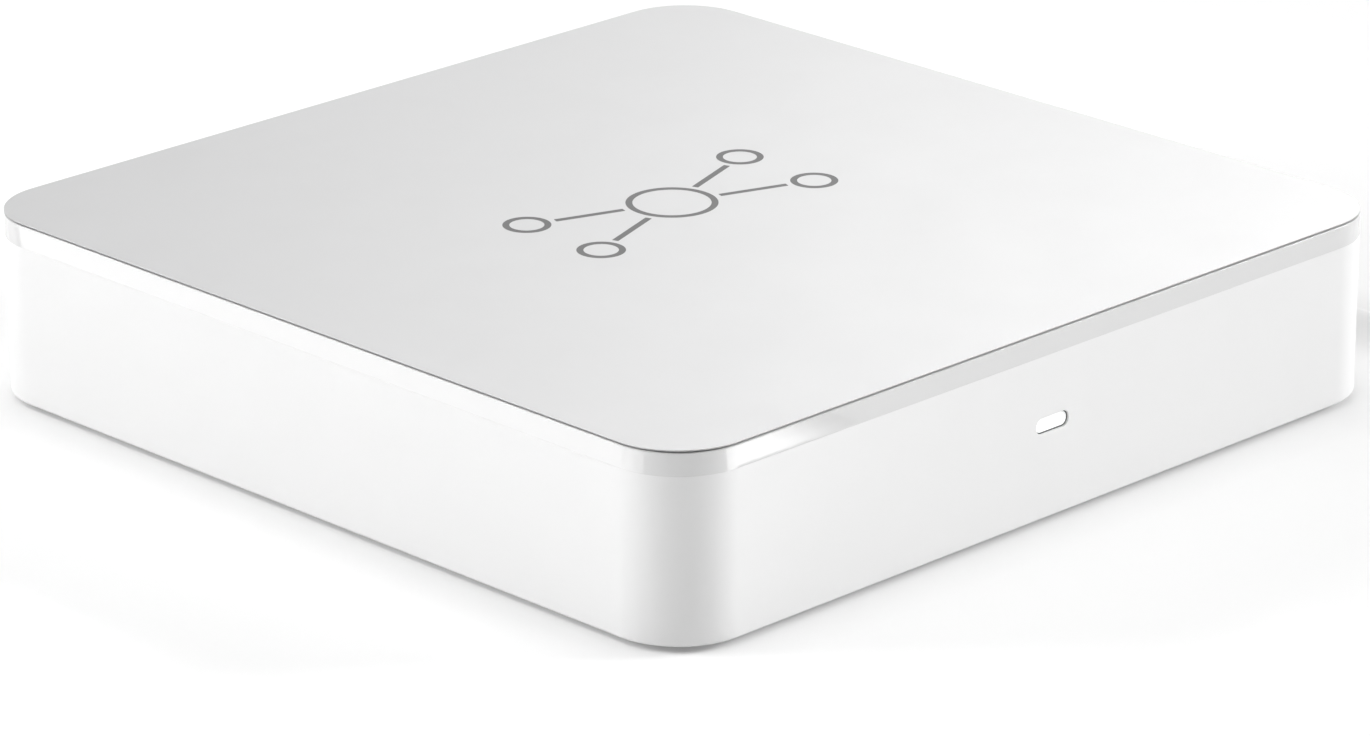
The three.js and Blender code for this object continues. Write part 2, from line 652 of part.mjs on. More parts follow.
function ethernetJack() {
  const width = JACK.width - 2 * (JACK.sheet + FIT);
  const height = JACK.height - 2 * (JACK.sheet + FIT);
  const depth = JACK.depth - JACK.sheet - JACK.rearGap - JACK.faceRecess;
  const bottom = JACK.sheet + FIT;
  const y = (JACK.sheet + JACK.rearGap - JACK.faceRecess) / 2;
  const lightDepth = PORT_LIGHT.depth - 2 * FIT;
  const lightY = y + (depth - lightDepth) / 2;
  const light = (name, look, side) => {
    const shape = block(PORT_LIGHT.width, lightDepth, PORT_LIGHT.height);
    return part(name, shape, look, side * PORT_LIGHT.x, lightY, bottom + PORT_LIGHT.lift + FIT);
  };
  const contactZ = bottom + PLUG_SPACE.floor + PLUG_SPACE.height - CONTACT_BAR.drop;
  const parts = [
    part("ethernet_shield", sheetShell(JACK), MATERIALS.tinned),
    part("ethernet_insert", ethernetInsert(width, depth, height), MATERIALS.blackPlastic, 0, y, bottom),
    part("ethernet_contacts", ethernetContacts(), MATERIALS.gold, 0, 0, contactZ),
    light("ethernet_link_light", MATERIALS.linkGreen, -1),
    light("ethernet_activity_light", MATERIALS.activityAmber, 1),
  ];
  return group(parts, ETHERNET.x, SOCKET_FACE - JACK.depth / 2, SOLDER);
}

// A USB type A socket: a sheet-metal shell around a black block whose tongue carries the contacts.
function usbSocket() {
  const { width, depth, height, sheet } = USB_SHELL;
  const gap = sheet + FIT;
  const { tongueWidth, tongueLength, tongueHeight } = USB_BLOCK;
  const blockY = -depth / 2 + gap + USB_BLOCK.depth / 2;
  const tongueY = blockY + (USB_BLOCK.depth + tongueLength) / 2 - OVERLAP / 2;
  const tongueZ = height - gap - USB_BLOCK.tongueDrop;
  const insulator = join(
    block(width - 2 * gap, USB_BLOCK.depth, height - 2 * gap, 0, blockY, gap),
    block(tongueWidth, tongueLength + OVERLAP, tongueHeight, 0, tongueY, tongueZ),
  );
  const parts = [
    part("usb_shell", sheetShell(USB_SHELL), MATERIALS.tinned),
    part("usb_insulator", insulator, MATERIALS.blackPlastic),
  ];
  return group(parts, USB.x, SOCKET_FACE - depth / 2, SOLDER);
}

// A round DC power jack: a body with a nose that fills the wall's hole, a blind hole and a centre pin.
function powerJack() {
  const { width, height, depth, noseRadius, noseLength } = POWER_JACK;
  const face = depth / 2;
  const axis = POWER.z - BOARD_TOP - SOLDER;
  const body = block(width, depth - noseLength, height, 0, -noseLength / 2, 0);
  const nose = sideways(rod(noseRadius, noseLength + PAST, 0, 0, face - noseLength - PAST, 32));
  const hole = sideways(rod(POWER_BORE.radius, POWER_BORE.depth + PAST, 0, 0, face - POWER_BORE.depth, 28));
  const pin = turned(
    [
      [0, POWER_BORE.pinLength],
      [POWER_BORE.pinTip, POWER_BORE.pinLength],
      [POWER_BORE.pinRadius, POWER_BORE.pinLength - 2 * FIT],
      [POWER_BORE.pinRadius, 0],
      [0, 0],
    ],
    20,
  );
  const jackBody = cut(join(body, nose.translate(0, 0, axis)), hole.translate(0, 0, axis));
  const parts = [
    part("power_jack_body", jackBody, MATERIALS.blackPlastic),
    part("power_jack_pin", sideways(pin), MATERIALS.tinned, 0, face - POWER_BORE.depth + JOIN, axis),
  ];
  return group(parts, POWER.x, SOCKET_FACE - depth / 2, SOLDER);
}

// ---------- Reset button ----------

// The cap, with its face at z = 0 and its flange behind the wall. It points outwards along +Z.
function buttonCap() {
  const { radius, flangeRadius, flange, length, dish } = BUTTON;
  const flangeTop = -(WALL + FIT);
  const rounding = 0.4;
  const profile = [
    [0, -dish],
    [radius - rounding, -dish / 2],
    [radius, -dish / 2 - rounding],
    [radius, flangeTop],
    [flangeRadius, flangeTop],
    [flangeRadius, flangeTop - flange],
    [radius, flangeTop - flange],
    [radius, -length],
    [0, -length],
  ];
  return turned(profile);
}

// The tactile switch behind the cap, whose plunger moves in a well, and the cap itself.
function resetSwitch() {
  const axis = RESET.z - BOARD_TOP - SOLDER;
  const plungerFace = HALF - BUTTON.length - JOIN;
  const switchFront = plungerFace - (SWITCH.plungerLength - SWITCH.plungerInside);
  const wellDepth = SWITCH.plungerInside + BUTTON_TRAVEL + FIT;
  const wellBottom = SWITCH.depth / 2 - wellDepth;
  const well = sideways(rod(SWITCH.plungerRadius + FIT, wellDepth + PAST, 0, 0, wellBottom, 24));
  const body = cut(block(SWITCH.side, SWITCH.depth, SWITCH.side + 1), well.translate(0, 0, axis));
  const plunger = sideways(rod(SWITCH.plungerRadius, SWITCH.plungerLength, 0, 0, -SWITCH.plungerLength, 24));
  const parts = [
    part("switch_body", body, MATERIALS.blackPlastic, 0, switchFront - SWITCH.depth / 2, 0),
    part("switch_plunger", plunger, MATERIALS.blackPlastic, 0, plungerFace, axis),
    part("reset_button", sideways(buttonCap()), MATERIALS.buttonGrey, 0, HALF, axis),
  ];
  return group(parts, RESET.x, 0, SOLDER);
}

// ---------- Antenna strip on the right-hand wall, and the cable from it to the wireless module ----------

function wallAntenna() {
  const strip = { x: INNER_FACE - 0.45, y: -14, z: 13, thickness: 0.6, length: 42, height: 8 };
  const route = [
    [strip.x - 0.9, -30, strip.z + 4],
    [strip.x - 1.6, -36, strip.z + 3.4],
    [strip.x - 4, -41, strip.z + 1.5],
    [strip.x - 10, -44.5, strip.z],
    [55, -45.5, strip.z - 0.4],
    [48, -44.5, strip.z],
    [42, -42.5, BOARD_TOP + 2.4],
    [40.5, -39.4, BOARD_TOP + 1.6],
  ];
  const curve = new THREE.CatmullRomCurve3(route.map((point) => new THREE.Vector3(...point)));
  const shape = block(strip.thickness, strip.length, strip.height);
  return group([
    part("wireless_antenna", shape, MATERIALS.circuitBoard, strip.x, strip.y, strip.z),
    part("antenna_cable", wire(curve, 0.55, 32, 6), MATERIALS.cable),
  ]);
}

// ---------- The hub ----------

const sockets = [ethernetJack(), usbSocket(), powerJack(), resetSwitch()];
const board = group([...boardParts(), ...sockets], 0, 0, BOARD_TOP);
const hub = group([housing(), board, wallAntenna()]);

export default hub;
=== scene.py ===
"""Looks for a square white smart home hub. Shapes are in millimetres, round the boxes of the frame's nodes.

The hub stands on the table at z = 0 and its front, with the status light, faces -Y.
"""

import math
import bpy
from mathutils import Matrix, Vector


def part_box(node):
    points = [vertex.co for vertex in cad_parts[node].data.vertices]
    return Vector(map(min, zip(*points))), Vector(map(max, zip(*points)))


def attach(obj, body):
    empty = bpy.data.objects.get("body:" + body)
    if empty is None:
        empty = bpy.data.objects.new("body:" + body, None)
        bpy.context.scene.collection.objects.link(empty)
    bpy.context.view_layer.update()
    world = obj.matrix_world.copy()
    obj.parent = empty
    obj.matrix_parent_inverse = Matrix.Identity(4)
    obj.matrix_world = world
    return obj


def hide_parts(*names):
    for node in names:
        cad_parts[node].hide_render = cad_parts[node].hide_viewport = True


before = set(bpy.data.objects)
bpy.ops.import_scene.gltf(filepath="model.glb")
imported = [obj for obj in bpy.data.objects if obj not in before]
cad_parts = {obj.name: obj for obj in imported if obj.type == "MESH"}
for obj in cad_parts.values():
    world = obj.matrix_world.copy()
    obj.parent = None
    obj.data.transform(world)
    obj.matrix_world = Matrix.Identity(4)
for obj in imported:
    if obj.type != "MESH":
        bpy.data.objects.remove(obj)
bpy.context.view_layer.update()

from types import SimpleNamespace as Sizes

import bmesh
import bpy
from mathutils import Matrix, Vector

MM = 0.001
HOUSING = "housing"


# ---------- Places that come from the frame ----------

class Box:
    """The box round a CAD node, in millimetres."""

    def __init__(self, node):
        low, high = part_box(node)
        self.low, self.high = low / MM, high / MM
        self.size = self.high - self.low
        self.middle = (self.low + self.high) / 2


PLATE = Box("top_plate")
COVER = Box("top_cover")
CASING = Box("side_casing")
BASE = Box("base_cover")
LIGHT = Box("light_pipe")
LABEL = Box("rating_label")
FOOT = Box("foot_front_left")
BOARD = Box("main_board")

WIDTH = CASING.size.x
HALF = WIDTH / 2
TOP = PLATE.high.z
CORNERS = ("front_left", "front_right", "rear_left", "rear_right")

# ---------- Sizes ----------

CORNER_RADIUS = 11
CORNER_STEPS = 20  # facets in a quarter of the housing's corner
WALL = 2
FIT = 0.2  # clearance between plastic parts
SEAM = 0.01  # what is left between faces that touch

PLATE_EDGE = Sizes(round=0.04, lip=0.07, undercut=0.3)
ADHESIVE_INSET = 1.1
RIM_EDGE = 0.12
DECK_THICKNESS = 1.8
LIP = Sizes(depth=2, thickness=1.2)
COVER_RIB = Sizes(x=30, thickness=1.2, length=120, height=1.2)
BOSS = Sizes(radius=3.5, pilot=1.5, pilot_depth=12)
CASING_EDGE = 0.55
LEDGE = Sizes(reach=1.2, height=1.2)

# The light's window in the front wall, the light guide behind it and the ribs beside the guide.
SLOT = Sizes(width=6.6, height=2.35, edge=0.04)
LIGHT_Z = (CASING.low.z + TOP) / 2
GUIDE = Sizes(
    gap=0.16, recess=0.3, width=6, arm_height=2.8, leg_depth=3, bevel=2.2,
    flange_width=9.6, flange_height=5,
)
GUIDE_RIB = Sizes(x=6, half=0.6, depth=2.8, reach=4.5)
PORT_EDGE = 0.25  # how round the rims of the rear openings are
RESET_OPENING = 2

MARK = Sizes(y=2, stroke=1.0, height=0.012, gap=0.9)
MARK_HUB_RADIUS = 6.2
MARK_NODE = Sizes(x=21.5, y=7.6, radius=3.0)

SCREW_SPACING = 122
SCREW_TUBE = Sizes(radius=4.2, height=4.6, bore=3.2, clearance=1.8, seat=1.4)
FOOT_SPACING = 104
FOOT_POCKET_DEPTH = 0.7
SOLE_GROOVE = Sizes(outer=4.9, inner=3.9, slope=0.2, depth=0.2)
VENTS = Sizes(columns=9, pitch=6, width=2.2, length=26, y=38)
KEYHOLE = Sizes(x=40, y=6, entry=4.4, neck=4.6, length=8, depth=2.7, wall=1.2, roof=0.8)
BOARD_HOLE = Sizes(x=51, y=44, radius=1.6, ring=2.3, ring_width=0.9)
POST = Sizes(radius=3, pilot=1.2)
CASE_SCREW = (2.8, 1.9, 1.25, 11)  # head's radius and height, shank's radius and length
BOARD_SCREW = (2.6, 1.7, 1, 5)

SHEET = 0.35  # sheet metal of the sockets
PLUG_SPACE = Sizes(width=11.9, height=7, depth=14, floor=3.4)
LATCH_SPACE = Sizes(width=6.4, height=1.6, notch_width=3.6, notch_height=0.9)
CONTACT = Sizes(count=8, pitch=1.02, radius=0.2, bar_length=9, bar_height=0.7)
USB_BLOCK_DEPTH = 3.6
USB_TONGUE = Sizes(width=11, length=9.2, height=1.9, drop=2.4)
USB_CONTACT = Sizes(x=(-3.5, -1, 1, 3.5), width=1, thickness=0.12)
POWER = Sizes(nose=4.3, nose_length=3.4, bore=3.15, bore_depth=9.6, opening=4.6, pin=1.05)
BUTTON = Sizes(flange_radius=3, flange=0.8, dish=0.15)


# ---------- Shapes: points in millimetres and the faces between them ----------

class Shape:
    def __init__(self, points, faces):
        self.points = [Vector(p) for p in points]
        self.faces = [tuple(f) for f in faces]

    def __add__(self, other):
        shift = len(self.points)
        faces = [tuple(i + shift for i in face) for face in other.faces]
        return Shape(self.points + other.points, self.faces + faces)

    def moved(self, x=0, y=0, z=0, about_z=0):
        place = Matrix.Translation((x, y, z)) @ Matrix.Rotation(math.radians(about_z), 4, "Z")
        return Shape([place @ p for p in self.points], self.faces)

    def over(self, box, z=0):
        """A shape drawn round the Z axis, moved over the middle of a box."""
        return self.moved(box.middle.x, box.middle.y, z)

    def facing(self, box):
        """An upright shape drawn round the Y axis, moved in line with the middle of a box."""
        return self.moved(box.middle.x, 0, box.middle.z)

    def flipped(self):
        """Turned half round the X axis."""
        return Shape([(p.x, -p.y, -p.z) for p in self.points], self.faces)

    def mesh(self, name):
        """A Blender mesh in metres, with doubled points merged and the faces pointing out."""
        data = bpy.data.meshes.new(name)
        data.from_pydata([p * MM for p in self.points], [], self.faces)
        work = bmesh.new()
        work.from_mesh(data)
        bmesh.ops.remove_doubles(work, verts=work.verts, dist=1e-4 * MM)
        bmesh.ops.recalc_face_normals(work, faces=work.faces)
        work.to_mesh(data)
        work.free()
        return data


def total(shapes):
    whole = Shape([], [])
    for shape in shapes:
        whole = whole + shape
    return whole


def rounded(corners, steps=4, closed=False):
    """An outline through corners (x, y) or (x, y, radius), each corner with a radius made into an arc."""
    points = []
    for index, corner in enumerate(corners):
        here = Vector(corner[:2])
        radius = corner[2] if len(corner) > 2 else 0
        if radius == 0 or (not closed and index in (0, len(corners) - 1)):
            points.append(here)
            continue
        before = (Vector(corners[index - 1][:2]) - here).normalized()
        after = (Vector(corners[(index + 1) % len(corners)][:2]) - here).normalized()
        half = before.angle(after) / 2
        centre = here + (before + after).normalized() * radius / math.sin(half)
        start = (here + before * radius / math.tan(half) - centre).normalized()
        end = (here + after * radius / math.tan(half) - centre).normalized()
        points += [centre + start.slerp(end, step / steps).normalized() * radius for step in range(steps + 1)]
    return points


def round_rectangle(width, depth, radius, steps):
    """Points round a rectangle with round corners, centred on the origin."""
    radius = max(radius, 1e-3)
    points = []
    for quarter, (x, y) in enumerate([(1, 1), (-1, 1), (-1, -1), (1, -1)]):
        for step in range(steps + 1):
            angle = math.radians(90 * (quarter + step / steps))
            points.append(Vector((
                x * (width / 2 - radius) + radius * math.cos(angle),
                y * (depth / 2 - radius) + radius * math.sin(angle),
            )))
    return points


def swept(width, depth, corner, profile, closed=False, upright=False, steps=8):
    """A solid between rings. Each profile point (inset, place) is a rounded rectangle, smaller by that inset.

    The rings lie flat and the place is a height, or with upright they stand and the place is along Y.
    An open profile is capped at both ends, and a closed one makes a frame with a hole in the middle.
    """
    points = []
    for inset, place in profile:
        for p in round_rectangle(width - 2 * inset, depth - 2 * inset, corner - inset, steps):
            points.append((p.x, place, p.y) if upright else (p.x, p.y, place))
    count = 4 * (steps + 1)
    rows = len(profile)
    faces = []
    for row in range(rows if closed else rows - 1):
        here, there = row * count, (row + 1) % rows * count
        for i in range(count):
            j = (i + 1) % count
            faces.append((here + i, here + j, there + j, there + i))
    if not closed:
        faces.append(range(count))
        faces.append(range((rows - 1) * count, rows * count))
    return Shape(points, faces)


def slab(width, depth, corner, bottom, top, soft_bottom=0, soft_top=0, upright=False, steps=8):
    """A flat rounded rectangle with its lower and upper edges softened by those radii."""
    middle = min(width, depth) / 2
    profile = rounded([(middle, bottom), (0, bottom, soft_bottom), (0, top, soft_top), (middle, top)])[1:-1]
    return swept(width, depth, corner, profile, upright=upright, steps=steps)


def disc(radius, bottom, top, soft_bottom=0, soft_top=0, upright=False, steps=8):
    return slab(2 * radius, 2 * radius, radius, bottom, top, soft_bottom, soft_top, upright, steps)


def turned(profile, upright=False, steps=8):
    """A turned solid. The profile's points are (radius, place), from one capped end to the other."""
    outer = max(radius for radius, place in profile)
    insets = [(outer - radius, place) for radius, place in profile]
    return swept(2 * outer, 2 * outer, outer, insets, upright=upright, steps=steps)


def prism(outline, bottom, top):
    """A flat outline stood up from one height to another."""
    count = len(outline)
    points = [(x, y, z) for z in (bottom, top) for x, y in outline]
    sides = [(i, (i + 1) % count, (i + 1) % count + count, i + count) for i in range(count)]
    return Shape(points, [*sides, range(count), range(count, 2 * count)])


def tube(path, radius, sides=10):
    """A round wire along a path of points, capped at both ends."""
    path = [Vector(p) for p in path]
    points = []
    across = None
    for index, here in enumerate(path):
        along = (path[min(index + 1, len(path) - 1)] - path[max(index - 1, 0)]).normalized()
        if across is None:
            across = along.orthogonal().normalized()
        across = (across - along * across.dot(along)).normalized()
        other = along.cross(across)
        for side in range(sides):
            angle = 2 * math.pi * side / sides
            points.append(here + radius * (across * math.cos(angle) + other * math.sin(angle)))
    faces = []
    for row in range(len(path) - 1):
        for side in range(sides):
            here, there = row * sides + side, row * sides + (side + 1) % sides
            faces.append((here, there, there + sides, here + sides))
    last = (len(path) - 1) * sides
    return Shape(points, [*faces, range(sides), range(last, last + sides)])


def block(low, high):
    """A plain box between two corners, used as a tool or as a hidden rib."""
    xs, ys, zs = zip(low, high)
    points = [(x, y, z) for z in zs for y in ys for x in xs]
    faces = [(0, 1, 3, 2), (4, 5, 7, 6), (0, 1, 5, 4), (2, 3, 7, 6), (0, 2, 6, 4), (1, 3, 7, 5)]
    return Shape(points, faces)


def opening(width, depth, corner, inner, face, edge, upright=False, steps=8):
    """A cutter from inner out through face, flared so that the opening's rim is rounded by edge."""
    outwards = 1 if face > inner else -1
    past = face + outwards
    rim = [(-edge * (1 - math.cos(a)), face - outwards * edge * (1 - math.sin(a)))
           for a in (math.radians(angle) for angle in (0, 22.5, 45, 67.5, 90))]
    return swept(width, depth, corner, [(0, inner), *rim, (-edge, past)], upright=upright, steps=steps)


def round_opening(radius, inner, face, edge, upright=False, steps=8):
    return opening(2 * radius, 2 * radius, radius, inner, face, edge, upright, steps)


def filled(box, corner=0.3, soft_low=0, soft_high=0.1, steps=4):
    """A rounded slab that fills a node's box."""
    shape = slab(box.size.x, box.size.y, corner, box.low.z, box.high.z, soft_low, soft_high, steps=steps)
    return shape.over(box)


def filled_upright(box, corner, soft_back, soft_face, steps=3):
    """A rounded upright slab that fills a node's box."""
    shape = slab(box.size.x, box.size.z, corner, box.low.y, box.high.y, soft_back, soft_face, True, steps)
    return shape.facing(box)


def new_object(name, data):
    made = bpy.data.objects.new(name, data)
    bpy.context.scene.collection.objects.link(made)
    return made


def combined(shape, operation, tool):
    made = [new_object(name, s.mesh(name)) for name, s in (("shape", shape), ("tool", tool))]
    modifier = made[0].modifiers.new("combine", "BOOLEAN")
    modifier.operation = operation
    modifier.solver = "EXACT"
    modifier.object = made[1]
    result = made[0].evaluated_get(bpy.context.evaluated_depsgraph_get()).to_mesh()
    answer = Shape([v.co / MM for v in result.vertices], [f.vertices for f in result.polygons])
    for thing in made:
        data = thing.data
        bpy.data.objects.remove(thing)
        bpy.data.meshes.remove(data)
    return answer


def joined(shape, *tools):
    return combined(shape, "UNION", total(tools))


def cut(shape, *tools):
    return combined(shape, "DIFFERENCE", total(tools))


def housing_sweep(profile, closed=False):
    return swept(WIDTH, WIDTH, CORNER_RADIUS, profile, closed, steps=CORNER_STEPS)


def at_sides(reach, make):
    """One copy of a shape on each side of the middle, that far along X."""
    return make.moved(-reach) + make.moved(reach)


def at_corners(spacing, make):
    """One copy of a shape at each corner of a square."""
    half = spacing / 2
    return total(make.moved(x, y) for x in (-half, half) for y in (-half, half))


# ---------- Materials ----------

def add_node(nodes, kind, values):
    """A new shader node with those values in its sockets."""
    node = nodes.new(f"ShaderNode{kind}")
    for socket, value in values.items():
        node.inputs[socket].default_value = value
    return node


class Graph:
    """A material's nodes. Everything it varies is a pattern in the piece's own space."""

    def __init__(self, name, colour, roughness, metallic=0.0):
        self.material = bpy.data.materials.new(name)
        self.material.use_nodes = True
        self.nodes = self.material.node_tree.nodes
        self.links = self.material.node_tree.links
        self.shader = self.nodes["Principled BSDF"]
        self.set("Base Color", (*colour, 1))
        self.set("Roughness", roughness)
        self.set("Metallic", metallic)
        self.colour = colour
        self.roughness = roughness
        self.place = self.nodes.new("ShaderNodeTexCoord").outputs["Object"]

    def set(self, socket, value):
        self.shader.inputs[socket].default_value = value

    def noise(self, feature, detail=2.0):
        """Noise whose patches are about feature millimetres across."""
        node = add_node(self.nodes, "TexNoise", {"Scale": 1 / (feature * MM), "Detail": detail})
        self.links.new(self.place, node.inputs["Vector"])
        return node.outputs["Fac"]

    def spread(self, factor, low, high):
        """The middle of the noise's range, from 0.3 to 0.7, spread over low to high."""
        values = {"From Min": 0.3, "From Max": 0.7, "To Min": low, "To Max": high}
        node = add_node(self.nodes, "MapRange", values)
        self.links.new(factor, node.inputs["Value"])
        return node.outputs["Result"]

    def blend(self, factor, first, second):
        """A mix of two colours, each of them fixed or another node's output."""
        node = self.nodes.new("ShaderNodeMix")
        node.data_type = "RGBA"
        self.links.new(factor, node.inputs["Factor"])
        for socket, colour in ((node.inputs[6], first), (node.inputs[7], second)):
            if hasattr(colour, "is_linked"):
                self.links.new(colour, socket)
            else:
                socket.default_value = (*colour, 1)
        return node.outputs[2]

    def glow(self, strength):
        self.set("Emission Color", (1, 1, 1, 1))
        self.set("Emission Strength", strength)

    def feed(self, socket, output):
        self.links.new(output, self.shader.inputs[socket])

    def mottle(self, feature, share):
        """The colour drifts by that share from patch to patch."""
        factor = self.spread(self.noise(feature), 0, 1)
        darker = [c * (1 - share) for c in self.colour]
        lighter = [c * (1 + share) for c in self.colour]
        self.feed("Base Color", self.blend(factor, darker, lighter))

    def smudge(self, feature, amount):
        """The roughness drifts by that amount from patch to patch."""
        factor = self.noise(feature, 4)
        self.feed("Roughness", self.spread(factor, self.roughness - amount, self.roughness + amount))

    def grain(self, feature, height):
        """Bumps of that height in millimetres."""
        bump = add_node(self.nodes, "Bump", {"Strength": 1, "Distance": height * MM})
        self.links.new(self.noise(feature, 3), bump.inputs["Height"])
        self.feed("Normal", bump.outputs["Normal"])


def grey(value):
    return (value, value, value)


# Colour, roughness and metallic, and then the drift in colour, the drift in roughness and the bumps. Each of
# those three is the feature's size in mm and the amount, or None.
LOOK_TABLE = {
    "satin_plate": ((0.60, 0.60, 0.603), 0.4, 0, (9, 0.006), (14, 0.02), (0.25, 0.0015)),
    "satin_white": (grey(0.84), 0.48, 0, (12, 0.004), (10, 0.02), (0.3, 0.0015)),
    "gloss_white": (grey(0.72), 0.03, 0, (15, 0.004), (12, 0.01), (6, 0.002)),
    "light_guide": (grey(0.95), 0.25, 0, (1.5, 0.02), (1, 0.04), None),
    # The adhesive's dark grey is partly painted shade: it darkens the gap under the top plate into a shadow
    # line.
    "adhesive_grey": (grey(0.24), 0.7, 0, (0.5, 0.1), None, (0.3, 0.02)),
    "mark_ink": (grey(0.13), 0.6, 0, (2, 0.02), None, (0.15, 0.002)),
    # Rubber for the feet. The same dark grey is also the ring round the light's window, where it is painted
    # shade.
    "rubber_grey": ((0.09, 0.093, 0.098), 0.75, 0, (1.2, 0.08), (2, 0.06), (0.12, 0.008)),
    "label_grey": ((0.62, 0.63, 0.64), 0.42, 0, (4, 0.01), (5, 0.04), (0.2, 0.002)),
    "zinc_steel": ((0.55, 0.56, 0.58), 0.28, 1, (0.8, 0.05), (0.6, 0.08), None),
    "circuit_board": ((0.014, 0.11, 0.05), 0.35, 0, (3, 0.15), (2, 0.05), (0.5, 0.01)),
    "chip_plastic": ((0.012, 0.012, 0.013), 0.5, 0, (0.6, 0.15), (1, 0.05), (0.08, 0.006)),
    "led_ceramic": ((0.72, 0.68, 0.58), 0.5, 0, (0.5, 0.05), None, (0.08, 0.004)),
    "tinned_metal": ((0.62, 0.63, 0.65), 0.3, 1, (2.5, 0.03), (2, 0.03), (0.6, 0.002)),
    "aluminium": ((0.48, 0.49, 0.5), 0.4, 1, (1.5, 0.05), (0.5, 0.08), (0.15, 0.004)),
    "thermal_pad": ((0.28, 0.37, 0.48), 0.8, 0, (1, 0.08), None, (0.2, 0.01)),
    "copper": ((0.72, 0.32, 0.14), 0.3, 1, (0.7, 0.08), (0.5, 0.06), None),
    "gold": ((0.78, 0.56, 0.2), 0.25, 1, (0.7, 0.05), (0.4, 0.06), None),
    "black_plastic": ((0.016, 0.016, 0.018), 0.42, 0, (1, 0.1), (1.5, 0.05), (0.15, 0.005)),
    "cable_black": ((0.022, 0.022, 0.024), 0.5, 0, (0.5, 0.1), (0.6, 0.06), (0.1, 0.004)),
    "button_grey": ((0.27, 0.28, 0.29), 0.42, 0, (0.5, 0.03), (0.5, 0.04), (0.12, 0.004)),
    "link_green": ((0.2, 0.58, 0.24), 0.15, 0, (0.5, 0.06), (0.6, 0.05), None),
    "activity_amber": ((0.78, 0.45, 0.1), 0.15, 0, (0.5, 0.06), (0.6, 0.05), None),
}
LIGHT_GUIDE_GLOW = 0.25


def make_look(name, colour, roughness, metallic, mottle, smudge, grain):
    graph = Graph(name, colour, roughness, metallic)
    for vary, settings in ((graph.mottle, mottle), (graph.smudge, smudge), (graph.grain, grain)):
        if settings:
            vary(*settings)
    if name == "light_guide":
        graph.glow(LIGHT_GUIDE_GLOW)
    return graph.material


LOOKS = {name: make_look(name, *settings) for name, settings in LOOK_TABLE.items()}


# ---------- Pieces ----------

SMOOTH_BELOW = math.radians(38)


def add_piece(name, shape, look, nodes=(), body=HOUSING):
    """A new piece that rides on body and replaces those CAD nodes."""
    piece = new_object(name, shape.mesh(name))
    piece.data.shade_smooth()
    piece.data.set_sharp_from_angle(angle=SMOOTH_BELOW)
    normals = piece.modifiers.new("normals", "WEIGHTED_NORMAL")
    normals.keep_sharp = True
    piece.data.materials.append(LOOKS[look])
    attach(piece, body)
    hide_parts(*nodes)


def add_fine(node, shape, look, body=HOUSING):
    """The fine version of one CAD node."""
    add_piece(f"fine_{node}", shape, look, [node], body)


def top_plate():
    edge = PLATE_EDGE
    profile = rounded([
        (edge.undercut, PLATE.low.z), (0, TOP - edge.lip), (0, TOP, edge.round), (1, TOP),
    ])[:-1]
    add_fine("top_plate", housing_sweep(profile), "satin_plate")


def plate_adhesive():
    # A real adhesive sheet, made dark grey as painted shade for the gap under the plate.
    sheet = housing_sweep([(ADHESIVE_INSET, COVER.high.z + SEAM), (ADHESIVE_INSET, PLATE.low.z - SEAM)])
    add_fine("plate_adhesive", sheet, "adhesive_grey")


def ring_line(radius, stroke, bottom, top):
    """A flat ring whose line is that wide."""
    outer = 2 * radius + stroke
    profile = [(0, bottom), (0, top), (stroke, top), (stroke, bottom)]
    return swept(outer, outer, outer / 2, profile, closed=True, steps=16)


def top_mark():
    """A plain generic mark: a hub ring, four small rings and the lines between them."""
    stroke = MARK.stroke
    bottom, top = TOP + 0.001, TOP + MARK.height
    shapes = [ring_line(MARK_HUB_RADIUS, stroke, bottom, top)]
    reach = math.hypot(MARK_NODE.x, MARK_NODE.y)
    start = MARK_HUB_RADIUS + stroke / 2 + MARK.gap
    end = reach - MARK_NODE.radius - stroke / 2 - MARK.gap
    line = slab(end - start, stroke, 0.1, bottom, top, steps=2)
    for x in (-MARK_NODE.x, MARK_NODE.x):
        for y in (-MARK_NODE.y, MARK_NODE.y):
            angle = math.atan2(y, x)
            middle = (start + end) / 2
            shapes.append(ring_line(MARK_NODE.radius, stroke, bottom, top).moved(x, y))
            bar = line.moved(about_z=math.degrees(angle))
            shapes.append(bar.moved(middle * math.cos(angle), middle * math.sin(angle)))
    add_piece("top_mark", total(shapes).moved(0, MARK.y), "mark_ink")


def top_cover():
    """A deck with a glossy rim, a lip inside the casing, two ribs and four screw bosses."""
    underside = COVER.high.z - DECK_THICKNESS
    lip_bottom = CASING.high.z - LIP.depth
    inner = WALL + FIT + LIP.thickness
    soft = 0.3
    profile = rounded([
        (1, COVER.high.z), (0, COVER.high.z, RIM_EDGE), (0, CASING.high.z + SEAM),
        (WALL, CASING.high.z + SEAM), (WALL, underside), (WALL + FIT, underside),
        (WALL + FIT, lip_bottom, soft), (inner, lip_bottom, soft), (inner, underside),
    ])[1:]
    shape = housing_sweep(profile)
    boss_bottom = COVER.low.z
    boss = turned(rounded([
        (0.8, boss_bottom), (BOSS.radius, boss_bottom, soft),
        (BOSS.radius, underside - 1, 0.6), (BOSS.radius + 1, underside),
        (BOSS.radius + 1, underside + 0.5),
    ]))
    half, length = COVER_RIB.thickness / 2, COVER_RIB.length / 2
    rib = block((-half, -length, underside - COVER_RIB.height), (half, length, underside + 0.5))
    shape = joined(shape, at_corners(SCREW_SPACING, boss), at_sides(COVER_RIB.x, rib))
    pilot = disc(BOSS.pilot, boss_bottom - 1, boss_bottom + BOSS.pilot_depth)
    shape = cut(shape, at_corners(SCREW_SPACING, pilot))
    add_fine("top_cover", shape, "gloss_white")


